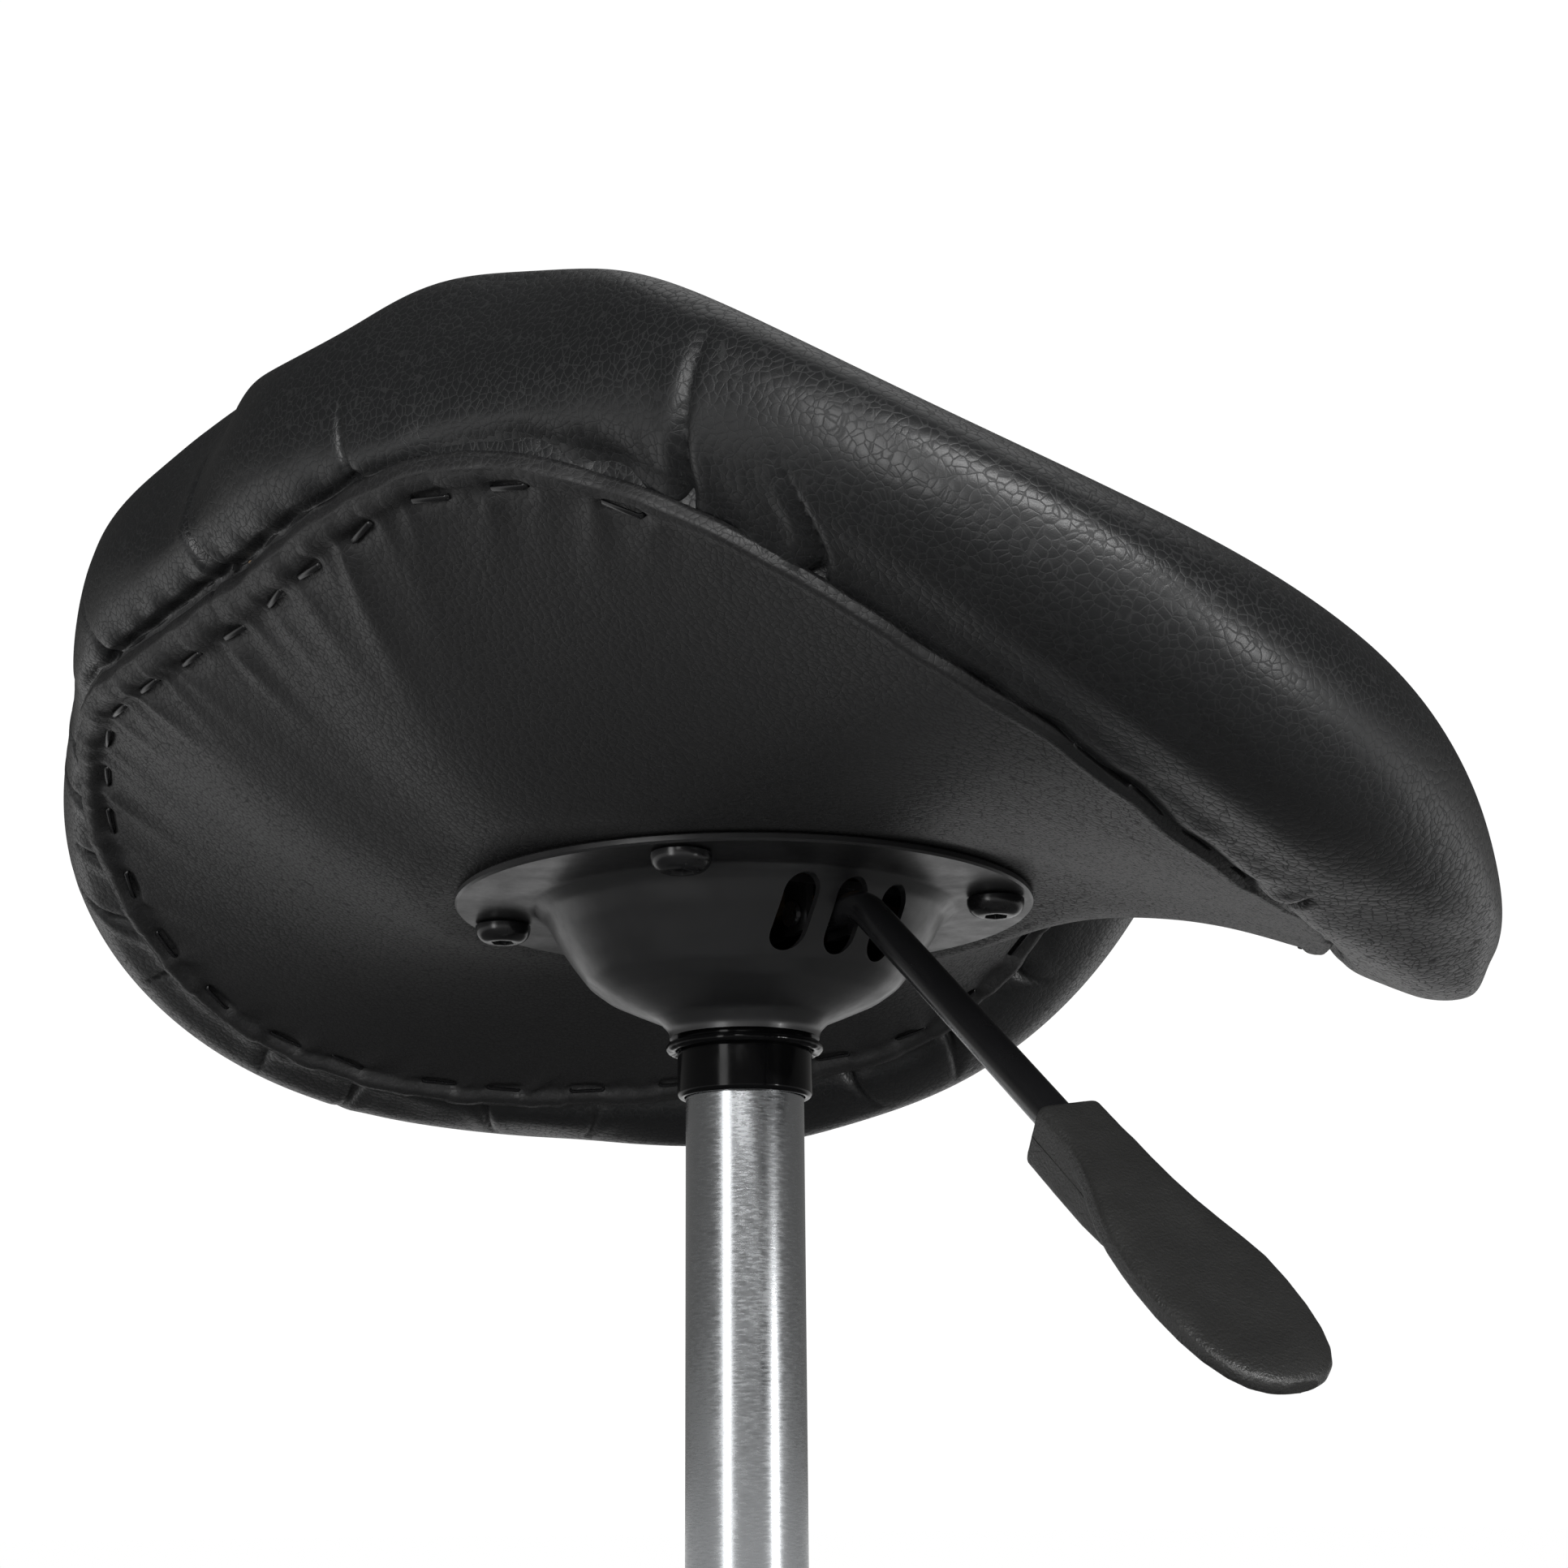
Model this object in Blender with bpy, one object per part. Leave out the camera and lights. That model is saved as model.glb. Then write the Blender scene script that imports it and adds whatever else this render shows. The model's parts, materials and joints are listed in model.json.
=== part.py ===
"""Rolling stylist stool with a saddle seat, built as separate pieces.

Units are metres, +Z is up, the floor is z = 0 and the pole stands on the origin.
The sitter faces -Y: the front of the saddle is at -Y, the wide back at +Y and the
two wings droop towards -X and +X.  The release lever leaves the bell towards -X.
"""
import math

import bmesh
import bpy
import numpy as np
from mathutils import Matrix, Vector

# ---------------------------------------------------------------- main heights
GAP = 0.0003                 # air left between neighbouring pieces
FLANGE_Z = 0.500             # top face of the bell flange, seat fully raised
COLUMN_TOP = 0.300
COLUMN_BOTTOM = 0.062
COLUMN_FLOOR = 0.066         # underside of the floor inside the column
FLOOR_THICK = 0.003

# ---------------------------------------------------------------- saddle seat
# Values every 22.5 degrees from the back (+Y) round to the front (-Y).
HEM_RADIUS = (0.138, 0.152, 0.176, 0.190, 0.168, 0.148, 0.140, 0.139, 0.133)
HEM_HEIGHT = (0.055, 0.053, 0.045, 0.002, -0.024, -0.025, -0.018, 0.010, 0.048)
RIM_HEIGHT = (0.051, 0.045, 0.044, 0.040, 0.046, 0.033, 0.035, 0.050, 0.066)
RIM_BULGE = (0.020, 0.016, 0.015, 0.032, 0.035, 0.036, 0.036, 0.039, 0.033)
RIM_SLOPE = (0.50, 0.42, 0.50, -0.20, -0.65, -0.64, -0.58, -0.34, 0.00)
NOSE_LIFT = 0.010            # extra height and reach of the rim at the very front
NOSE_REACH = 0.006
NOSE_WIDTH = 0.45            # radians either side of the front
SEAT_TURN = math.radians(0.8)    # the seat is screwed on slightly askew
SEAT_SHIFT = (0.005, -0.001)     # and slightly off the pole
CROWN_Z = 0.058              # height of the sitting surface over the pole
SEAT_SIDES = 52
DISH_POWER = 1.35            # how slowly the board starts to curve off its flat middle
BOARD_THICK = 0.012
COVER_THICK = 0.0012
BOARD_FLAT = 0.0765          # radius of the flat middle of the board
BOARD_FLAT_BACK = 0.012      # by how much that is less straight back
SHELL_REACH = (0.0, 0.30, 0.62)   # rings shared by cover, board and cushion
BOARD_EDGE = 0.97            # where board and cover end, the hem being 1
CUSHION_EDGE = 0.985         # inner side of the cushion's wrap round the board
COVER_ROLL = (0.88, 0.93)    # rings of the cover's folded edge
COVER_ROLL_DROP = 0.0012     # how far the fold hangs down
CROWN_RINGS = (0.34, 0.64, 0.87)
RIM_ANGLES = (66, 42, 18, -6, -30, -56)   # degrees round the rim's bulge
NUT_POCKET = 0.004           # hollow left in the foam over the T-nuts
BOARD_TOP = 2 * GAP + COVER_THICK + BOARD_THICK

# ---------------------------------------------------------------- bell and lever
FLANGE_R = 0.0695
FLANGE_THICK = 0.0020
BOLT_CIRCLE = 0.061
BOLTS = 4
BOLT_HEAD_R = 0.0068
BOLT_HEAD_H = 0.0044
BOLT_R = 0.0039
SOCKET_R = 0.0027            # hex socket, centre to corner
SOCKET_DEPTH = 0.0024
TNUT_R = 0.0052
TNUT_FLANGE_R = 0.0085
TNUT_FLANGE = 0.0015
SHEET = 0.0020
NECK_SHEET = 0.0015          # the drawn neck is thinner than the bell
COLLAR_R = 0.0160
COLLAR_LIP = -0.0475
NECK_END = -0.0340
# Outside of the bell from under the flange down to the neck: (radius, height).
BELL_SIDE = ((0.0512, -0.0020), (0.0482, -0.0042), (0.0455, -0.0092), (0.0412, -0.0155),
             (0.0374, -0.0204), (0.0330, -0.0236), (0.0262, -0.0266), (0.0205, -0.0290),
             (0.0180, -0.0316), (0.0178, NECK_END))
NECK_POINTS = 3              # points of that outline which belong to the neck
BEAD_MID_R = 0.01755
BEAD_HALF_WIDTH = 0.00115
BEAD_HALF_HEIGHT = 0.0013
SLOT_WIDTH = 0.0080
SLOT_HALF_STRAIGHT = 0.0040
SLOT_PITCH = 0.0125
SLOT_X = -0.044
SLOT_Z = -0.0115
PIVOT_X = -0.033
PIVOT_Z = -0.0100
STRAP = (0.010, 0.0512, 0.0018)    # bracket strap along X, Y and Z
EAR = (0.009, 0.0018, 0.0112)      # each of its two ears
EAR_OFFSET = 0.0058
PIN_R = 0.0020
PIN_HEAD_R = 0.0030
PIN_HALF = 0.0074
ROD_R = 0.0035
ROD_SIDES = 12
ROD_TAIL = 0.0365            # from the pivot to the end over the valve button
LEVER_DROP = math.radians(40.5)
BEND_X = -0.050
BEND_RADIUS = 0.014
GRIP_START = 0.118
GRIP_BORE = 0.034            # how far the rod's hole runs into the grip
ROD_IN_GRIP = 0.024
# Along the grip: distance, half width, half thickness, corner power, offset.
GRIP_SECTIONS = ((0.0000, 0.0066, 0.0056, 6.0, 0.0), (0.0015, 0.0073, 0.0063, 6.0, 0.0),
                 (0.0220, 0.0074, 0.0062, 6.0, 0.0), (0.0300, 0.0086, 0.0057, 5.0, 0.0005),
                 (0.0370, 0.0110, 0.0048, 4.4, 0.0014), (0.0440, 0.0130, 0.0038, 4.0, 0.0024),
                 (0.0510, 0.0142, 0.0030, 4.0, 0.0031), (0.0590, 0.0143, 0.0028, 4.0, 0.0031),
                 (0.0670, 0.0138, 0.0028, 3.8, 0.0029), (0.0740, 0.0124, 0.0027, 3.4, 0.0027),
                 (0.0795, 0.0098, 0.0026, 3.0, 0.0026), (0.0830, 0.0064, 0.0022, 2.6, 0.0025),
                 (0.0845, 0.0030, 0.0014, 2.2, 0.0025))
GRIP_ROLL = math.radians(12.0)   # the grip is pressed on slightly rolled

# ---------------------------------------------------------------- gas column
TUBE_R = 0.0140
TUBE_WALL = 0.0015
TUBE_BOTTOM = 0.228
TUBE_TOP = FLANGE_Z - 0.0225
TUBE_HEAD = 0.010            # depth of the closed head that guides the button
BUTTON_R = 0.0040
GUIDE_LENGTH = 0.018
OUTER_R = 0.0250
OUTER_WALL = 0.0015
FOOT_R = OUTER_R - 0.0012    # column radius at its foot, below the taper
TAPER_LENGTH = 0.060
BUSHING_LENGTH = 0.085
BUSHING_CAP = 0.0042
PISTON_ROD_R = 0.0050
PISTON_LENGTH = 0.012
RACE_R = 0.0110
RACE_THICK = 0.0017
CAGE_R = 0.0106
BALL_HEIGHT = 0.0030
BUFFER_R = 0.0120
BUFFER_LENGTH = 0.0086
CLIP_R = 0.0085
CLIP_THICK = 0.0014

# ---------------------------------------------------------------- base and casters
LEGS = 5
STAR_TURN = 99.0
CASTER_CIRCLE = 0.235
HUB_R = 0.033
HUB_BOTTOM = 0.060
HUB_TOP = 0.118
LEG_UNDERSIDE = 0.0580
# Along an arm: distance, half width, rise of the underside, top height.
ARM_SECTIONS = ((0.0200, 0.0190, 0.0060, 0.1080), (0.0600, 0.0175, 0.0060, 0.1020),
                (0.1250, 0.0160, 0.0040, 0.0940), (0.1850, 0.0150, 0.0010, 0.0875),
                (0.2250, 0.0150, 0.0000, 0.0840), (0.2410, 0.0135, 0.0000, 0.0825),
                (0.2475, 0.0095, 0.0015, 0.0805), (0.2500, 0.0050, 0.0040, 0.0775))
WHEEL_R = 0.025
WHEEL_WIDTH = 0.0140
WHEEL_OFFSET = 0.0156
WHEEL_SIDES = 24
AXLE_R = 0.0030
TRAIL = 0.019
STEM_R = 0.0050
STEM_TOP = 0.0780
STEM_LOW = 0.0360
HOOD_R = 0.0285
HOOD_INNER = WHEEL_R + 0.0012
HOOD_STEPS = 8
BOSS_R = 0.0080
BOSS_LOW = 0.0340
BOSS_TOP = LEG_UNDERSIDE - 0.0005
# Way each caster happens to trail, in degrees from its arm; the five together keep
# the pole in the middle of the stool's overall box.
CASTER_TURN = (165.0, -160.0, 95.0, -165.0, 45.0)


# ================================================================ helpers
def clear_scene():
    """Take away whatever the file holds at the start."""
    for obj in list(bpy.data.objects):
        bpy.data.objects.remove(obj, do_unlink=True)


def material(name, colour, roughness, metallic=0.0):
    """Plain Principled surface."""
    mat = bpy.data.materials.new(name)
    mat.use_nodes = True
    shader = mat.node_tree.nodes["Principled BSDF"]
    shader.inputs["Base Color"].default_value = (*colour, 1.0)
    shader.inputs["Roughness"].default_value = roughness
    shader.inputs["Metallic"].default_value = metallic
    mat.diffuse_color = (*colour, 1.0)
    return mat


def finish_mesh(bm, name, smooth_angle=35.0):
    """Close the edit mesh into mesh data with outward normals and soft shading."""
    bmesh.ops.recalc_face_normals(bm, faces=bm.faces)
    data = bpy.data.meshes.new(name)
    bm.to_mesh(data)
    bm.free()
    for face in data.polygons:
        face.use_smooth = True
    data.set_sharp_from_angle(angle=math.radians(smooth_angle))
    return data


def place(name, data, mat=None, parent=None, location=(0, 0, 0), turn=0.0):
    """Put a mesh in the scene as its own object; turn is about +Z in radians."""
    obj = bpy.data.objects.new(name, data)
    bpy.context.scene.collection.objects.link(obj)
    obj.location = location
    obj.rotation_euler = (0.0, 0.0, turn)
    obj.parent = parent
    if mat and not data.materials:
        data.materials.append(mat)
    return obj


def pivot(name, location, parent=None, turn=0.0):
    """Empty on a joint's axis, which the moving pieces hang from."""
    empty = bpy.data.objects.new(name, None)
    bpy.context.scene.collection.objects.link(empty)
    empty.empty_display_size = 0.02
    empty.location = location
    empty.rotation_euler = (0.0, 0.0, turn)
    empty.parent = parent
    return empty


def lathe(name, profile, sides, smooth_angle=35.0):
    """Spin a profile of (radius, z) about +Z.  Radius 0 at both ends closes it."""
    bm = bmesh.new()
    verts = [bm.verts.new((r, 0.0, z)) for r, z in profile]
    edges = [bm.edges.new(pair) for pair in zip(verts, verts[1:])]
    if profile[0][0] > 0.0:
        edges.append(bm.edges.new((verts[-1], verts[0])))
    bmesh.ops.spin(bm, geom=verts + edges, cent=(0, 0, 0), axis=(0, 0, 1),
                   angle=2 * math.pi, steps=sides, use_merge=True)
    bmesh.ops.remove_doubles(bm, verts=bm.verts, dist=1e-5)
    return finish_mesh(bm, name, smooth_angle)


def ring(name, inner, outer, low, high, sides=20):
    """Plain washer or sleeve between two heights."""
    return lathe(name, [(outer, high), (outer, low), (inner, low), (inner, high)], sides)


def cylinder(name, radius, low, high, sides=24):
    """Plain round bar between two heights."""
    return lathe(name, [(0, high), (radius, high), (radius, low), (0, low)], sides)


def loft(name, sections, smooth_angle=40.0):
    """Skin a row of equal-length point loops and cap both ends."""
    bm = bmesh.new()
    loops = [[bm.verts.new(p) for p in section] for section in sections]
    for near, far in zip(loops, loops[1:]):
        for i in range(len(near)):
            j = (i + 1) % len(near)
            bm.faces.new((near[i], near[j], far[j], far[i]))
    bm.faces.new(loops[0])
    bm.faces.new(loops[-1])
    return finish_mesh(bm, name, smooth_angle)


def box_mesh(name, size, centre):
    """Flat bar of the given size."""
    bm = bmesh.new()
    bmesh.ops.create_cube(bm, size=1.0)
    bmesh.ops.scale(bm, vec=size, verts=bm.verts)
    bmesh.ops.translate(bm, vec=centre, verts=bm.verts)
    return finish_mesh(bm, name)


def combine(name, base, others, operation):
    """Bake an exact boolean of mesh data with a list of (mesh, matrix) tools."""
    body = place(name + "_blank", base)
    tools = []
    for index, (data, matrix) in enumerate(others):
        tool = place(f"{name}_tool_{index}", data)
        tool.matrix_world = matrix
        modifier = body.modifiers.new(f"cut_{index}", "BOOLEAN")
        modifier.operation = operation
        modifier.solver = "EXACT"
        modifier.object = tool
        tools.append(tool)
    graph = bpy.context.evaluated_depsgraph_get()
    graph.update()
    result = bpy.data.meshes.new_from_object(body.evaluated_get(graph))
    result.name = name
    result.materials.clear()
    for obj in tools + [body]:
        bpy.data.objects.remove(obj, do_unlink=True)
    for face in result.polygons:
        face.use_smooth = True
    result.set_sharp_from_angle(angle=math.radians(35.0))
    return result


def at(x=0.0, y=0.0, z=0.0):
    """Matrix that only moves."""
    return Matrix.Translation((x, y, z))


def round_points(half_y, half_n, count, power=2.6):
    """Rounded-rectangle outline as a superellipse of (across, normal) pairs."""
    points = []
    for i in range(count):
        a = 2 * math.pi * i / count
        c, s = math.cos(a), math.sin(a)
        points.append((half_y * math.copysign(abs(c) ** (2 / power), c),
                       half_n * math.copysign(abs(s) ** (2 / power), s)))
    return points


# ================================================================ saddle shape
class Saddle:
    """Hem curve of the seat and the shells that follow it."""

    def __init__(self, sides):
        angle = np.linspace(0, 2 * math.pi, sides, endpoint=False)
        self.radius = periodic(HEM_RADIUS, angle)
        self.height = periodic(HEM_HEIGHT, angle)
        nose = np.exp(-((angle - math.pi) / NOSE_WIDTH) ** 2)
        self.rise = periodic(RIM_HEIGHT, angle) + NOSE_LIFT * nose
        self.bulge = periodic(RIM_BULGE, angle) + NOSE_REACH * nose
        back = np.clip(np.cos(angle), 0.0, 1.0)
        self.flat = BOARD_FLAT - BOARD_FLAT_BACK * back ** 6
        slope = periodic(RIM_SLOPE, angle)
        self.lean_cos = 1.0 / np.sqrt(1.0 + slope ** 2)
        self.lean_sin = slope * self.lean_cos
        self.x = self.radius * np.sin(angle)
        self.y = self.radius * np.cos(angle)
        step_x = np.roll(self.x, -1) - np.roll(self.x, 1)
        step_y = np.roll(self.y, -1) - np.roll(self.y, 1)
        length = np.hypot(step_x, step_y)
        self.out_x = -step_y / length
        self.out_y = step_x / length

    def inside(self, reach, lift):
        """Loop on the underside, raised by lift.

        Reach runs from 0 at the edge of the flat middle to 1 at the hem.
        """
        part = (self.flat + reach * (self.radius - self.flat)) / self.radius
        z = FLANGE_Z + self.height * max(reach, 0.0) ** DISH_POWER + lift
        return np.stack([self.x * part, self.y * part, z], 1)

    def rim(self, out, up):
        """Loop off the hem, out and up being measured in the leaning rim plane."""
        flat = out * self.lean_cos - up * self.lean_sin
        z = FLANGE_Z + self.height + out * self.lean_sin + up * self.lean_cos
        return np.stack([self.x + self.out_x * flat, self.y + self.out_y * flat, z], 1)


def periodic(knots, angle):
    """Smooth even curve through knots spaced evenly from 0 to 180 degrees."""
    count = len(knots) - 1
    full = np.array(list(knots) + list(knots[-2:0:-1]))
    waves = np.fft.rfft(full) / len(full)
    value = np.full_like(angle, waves[0].real)
    for k in range(1, count + 1):
        weight = 1.0 if k == count else 2.0
        value = value + weight * waves[k].real * np.cos(k * angle)
    return value


def seated(data):
    """Turn and shift a piece of the seat to where it is screwed on."""
    data.transform(at(*SEAT_SHIFT) @ Matrix.Rotation(SEAT_TURN, 4, "Z"))
    return data


def shell(name, outward, inward, crown=None):
    """Closed cap from loops running centre to rim and loops running back again.

    The skin is cut into triangles along the same diagonals in both directions, so
    stacked shells keep their gap.  The flat last loop is closed by one face, and so
    is the first without a crown.
    """
    bm = bmesh.new()
    loops = [[bm.verts.new(p) for p in loop] for loop in outward + inward]
    sides = len(loops[0])
    for row in range(len(loops) - 1):
        near, far = loops[row], loops[row + 1]
        for i in range(sides):
            j = (i + 1) % sides
            if row < len(outward):
                bm.faces.new((near[i], near[j], far[j]))
                bm.faces.new((near[i], far[j], far[i]))
            else:
                bm.faces.new((near[i], near[j], far[i]))
                bm.faces.new((near[j], far[j], far[i]))
    bm.faces.new(loops[-1])
    if crown is None:
        bm.faces.new(loops[0])
    else:
        top = bm.verts.new(crown)
        for i in range(sides):
            bm.faces.new((top, loops[0][(i + 1) % sides], loops[0][i]))
    return finish_mesh(bm, name, 60.0)


def bolt_angles():
    """Directions of the four screws, half way between the axes."""
    return [math.pi * (2 * i + 1) / BOLTS for i in range(BOLTS)]


def bolt_tools(radius, low, high):
    """Cutters for the four screw holes."""
    data = cylinder("bolt_hole", radius, low, high, 16)
    return [(data, at(BOLT_CIRCLE * math.cos(a), BOLT_CIRCLE * math.sin(a)))
            for a in bolt_angles()]


def underside_cover(saddle):
    """Vinyl sheet stapled under the board, with a rolled edge at the hem."""
    low = GAP
    high = low + COVER_THICK
    roll_start, roll_low = COVER_ROLL
    under = [saddle.inside(t, low) for t in SHELL_REACH]
    under += [saddle.inside(roll_start, low), saddle.inside(roll_low, low - COVER_ROLL_DROP)]
    edge = [saddle.inside(BOARD_EDGE, low)]
    over = [saddle.inside(t, high) for t in (BOARD_EDGE, *SHELL_REACH[::-1])]
    data = seated(shell("underside_cover", under, edge + over))
    holes = bolt_tools(BOLT_R + GAP, FLANGE_Z - 0.01, FLANGE_Z + 0.01)
    return combine("underside_cover", data, holes, "DIFFERENCE")


def seat_board(saddle):
    """Moulded plywood shell, drilled for the four T-nuts."""
    low = BOARD_TOP - BOARD_THICK
    steps = (*SHELL_REACH, BOARD_EDGE)
    under = [saddle.inside(t, low) for t in steps]
    over = [saddle.inside(t, BOARD_TOP) for t in steps[::-1]]
    data = seated(shell("seat_board", under, over))
    base = FLANGE_Z + low
    holes = bolt_tools(TNUT_R + GAP, base - 0.01, base + 0.03)
    return combine("seat_board", data, holes, "DIFFERENCE")


def seat_cushion(saddle):
    """Foam pad and its cover as one soft solid wrapping over the board edge."""
    crown = FLANGE_Z + CROWN_Z
    hem_top = saddle.rim(0.0, saddle.rise)
    top = []
    for part in CROWN_RINGS:
        z = crown + (hem_top[:, 2] - crown) * part ** 2
        top.append(np.stack([hem_top[:, 0] * part, hem_top[:, 1] * part, z], 1))
    rim = [hem_top]
    for degrees in RIM_ANGLES:
        a = math.radians(degrees)
        out = saddle.bulge * math.cos(a) ** 0.8
        rim.append(saddle.rim(out, saddle.rise * (1.0 + math.sin(a)) / 2))
    rim.append(saddle.rim(0.25 * saddle.bulge, 0.0))
    rim.append(saddle.inside(1.0, 0.0008))
    low = BOARD_TOP + GAP
    wrap = [saddle.inside(CUSHION_EDGE, 0.0015), saddle.inside(CUSHION_EDGE, low)]
    under = [saddle.inside(t, low) for t in SHELL_REACH[::-1]]
    under.append(saddle.inside(-0.01, low + NUT_POCKET))
    return seated(shell("seat_cushion", top + rim, wrap + under, (0, 0, crown)))


# ================================================================ seat hardware
def t_nut():
    """Barrel and flange pressed into the board from above, bored for the screw."""
    low = BOARD_TOP - BOARD_THICK + 0.0020
    flange_low = BOARD_TOP + GAP
    flange_top = flange_low + TNUT_FLANGE
    profile = [(TNUT_FLANGE_R, flange_top), (TNUT_FLANGE_R, flange_low),
               (TNUT_R, flange_low), (TNUT_R, low), (BOLT_R + GAP, low),
               (BOLT_R + GAP, flange_top)]
    return lathe("t_nut", profile, 16)


def seat_bolt():
    """Button-head socket screw, head down, origin on the flange underside."""
    head = -FLANGE_THICK - GAP
    face = head - BOLT_HEAD_H
    r = BOLT_HEAD_R
    tip = BOARD_TOP - 0.0005
    profile = [(0, tip), (BOLT_R, tip), (BOLT_R, head), (r, head), (r, head - 0.0012),
               (r * 0.70, face), (0, face)]
    data = lathe("seat_bolt", profile, 18)
    socket = cylinder("socket_tool", SOCKET_R, face - 0.002, face + SOCKET_DEPTH, 6)
    return combine("seat_bolt", data, [(socket, at())], "DIFFERENCE")


# ================================================================ bell
def bell_profile():
    """Outside runs down the bell, the inside is one sheet thickness further in."""
    outside = [(FLANGE_R, 0.0), (FLANGE_R, -FLANGE_THICK)] + list(BELL_SIDE)
    inside = []
    last = len(BELL_SIDE) - 1
    for index, (radius, height) in enumerate(BELL_SIDE):
        before = Vector(BELL_SIDE[max(index - 1, 0)])
        after = Vector(BELL_SIDE[min(index + 1, last)])
        run = (after - before).normalized()
        wall = NECK_SHEET if index > last - NECK_POINTS else SHEET
        inside.append((radius + run.y * wall, height - run.x * wall))
    inside[-1] = (COLLAR_R + GAP, NECK_END)
    inside[0] = (BELL_SIDE[0][0] - 0.0035, 0.0)
    inside = [p for p in inside if p[1] <= 0.0]
    return outside + inside[::-1]


def bell_plate():
    """Pressed bell with its bolting flange, drilled and slotted for the lever."""
    data = lathe("bell_plate", bell_profile(), 40, 50.0)
    tools = bolt_tools(BOLT_R + GAP, -0.01, 0.01)
    slot = slot_tool()
    for row in (-1, 0, 1):
        tools.append((slot, at(SLOT_X, row * SLOT_PITCH, SLOT_Z)))
    return combine("bell_plate", data, tools, "DIFFERENCE")


def slot_tool():
    """Upright bar with round ends, cutting through the bell wall along X."""
    half = SLOT_WIDTH / 2
    steps = 6
    outline = []
    for start, middle in ((0.0, SLOT_HALF_STRAIGHT), (math.pi, -SLOT_HALF_STRAIGHT)):
        for i in range(steps + 1):
            a = start + math.pi * i / steps
            outline.append((half * math.cos(a), middle + half * math.sin(a)))
    sections = [[(x, y, z) for y, z in outline] for x in (-0.014, 0.012)]
    return loft("slot_tool", sections)


def neck_ring():
    """Weld bead between the bell neck and the collar."""
    mid = NECK_END - GAP - BEAD_HALF_HEIGHT
    points = []
    for i in range(6):
        a = 2 * math.pi * i / 6
        points.append((BEAD_MID_R + BEAD_HALF_WIDTH * math.cos(a),
                       mid - BEAD_HALF_HEIGHT * math.sin(a)))
    return lathe("neck_ring", points, 32)


def socket_tube():
    """Taper socket that grips the gas cylinder; its lower part is the collar."""
    top = TUBE_TOP - FLANGE_Z - 0.0005
    profile = [(COLLAR_R - 0.0005, top), (COLLAR_R, top - 0.0005),
               (COLLAR_R, COLLAR_LIP + 0.0008), (COLLAR_R - 0.0006, COLLAR_LIP),
               (TUBE_R + GAP, COLLAR_LIP), (TUBE_R + GAP - 0.0004, top)]
    return lathe("socket_tube", profile, 36)


def lever_bracket():
    """Strap inside the bell with two ears that carry the lever pin."""
    strap = box_mesh("strap", STRAP, (PIVOT_X, 0, -0.0026))
    tools = []
    for side in (-1, 1):
        ear = box_mesh("ear", EAR, (PIVOT_X, side * EAR_OFFSET, -0.0086))
        tools.append((ear, at()))
    solid = combine("lever_bracket", strap, tools, "UNION")
    hole = cylinder("pin_hole", PIN_R + GAP, -0.02, 0.02, 16)
    turned = at(PIVOT_X, 0, PIVOT_Z) @ Matrix.Rotation(math.pi / 2, 4, "X")
    return combine("lever_bracket", solid, [(hole, turned)], "DIFFERENCE")


def pivot_pin():
    """Headed pin lying along Y through the ears and the lever."""
    half = PIN_HALF
    profile = [(0, half + 0.0010), (PIN_HEAD_R, half + 0.0010), (PIN_HEAD_R, half),
               (PIN_R, half), (PIN_R, -half - 0.0012), (0, -half - 0.0012)]
    data = lathe("pivot_pin", profile, 16)
    data.transform(Matrix.Rotation(-math.pi / 2, 4, "X"))
    return data


# ================================================================ lever
def lever_path():
    """Centre line of the rod relative to the pivot, with an arc at the bend."""
    radius = BEND_RADIUS
    tangent = radius * math.tan(LEVER_DROP / 2)
    bend = BEND_X - PIVOT_X
    points = [(ROD_TAIL, 0.0), (0.020, 0.0), (0.0, 0.0), (-0.010, 0.0)]
    for i in range(6):
        a = LEVER_DROP * i / 5
        points.append((bend + tangent - radius * math.sin(a), -radius * (1 - math.cos(a))))
    reach = GRIP_START + ROD_IN_GRIP + BEND_X
    end = (bend - reach, -reach * math.tan(LEVER_DROP))
    points.append(end)
    return points


def lever_rod():
    """Bent round bar, bored for the pin."""
    points = lever_path()
    sections = []
    for index, (x, z) in enumerate(points):
        before = points[max(index - 1, 0)]
        after = points[min(index + 1, len(points) - 1)]
        run = Vector((after[0] - before[0], after[1] - before[1])).normalized()
        loop = []
        for i in range(ROD_SIDES):
            a = 2 * math.pi * i / ROD_SIDES
            side = ROD_R * math.sin(a)
            loop.append((x - run.y * side, ROD_R * math.cos(a), z + run.x * side))
        sections.append(loop)
    data = loft("lever_rod", sections)
    hole = cylinder("pin_bore", PIN_R + GAP, -0.01, 0.01, 16)
    turned = Matrix.Rotation(math.pi / 2, 4, "X")
    return combine("lever_rod", data, [(hole, turned)], "DIFFERENCE")


def grip_frame():
    """Start point of the grip relative to the pivot and its downward direction."""
    bend = BEND_X - PIVOT_X
    reach = GRIP_START + BEND_X
    start = Vector((bend - reach, 0.0, -reach * math.tan(LEVER_DROP)))
    along = Vector((-math.cos(LEVER_DROP), 0.0, -math.sin(LEVER_DROP)))
    normal = Vector((-math.sin(LEVER_DROP), 0.0, math.cos(LEVER_DROP)))
    return start, along, normal


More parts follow.
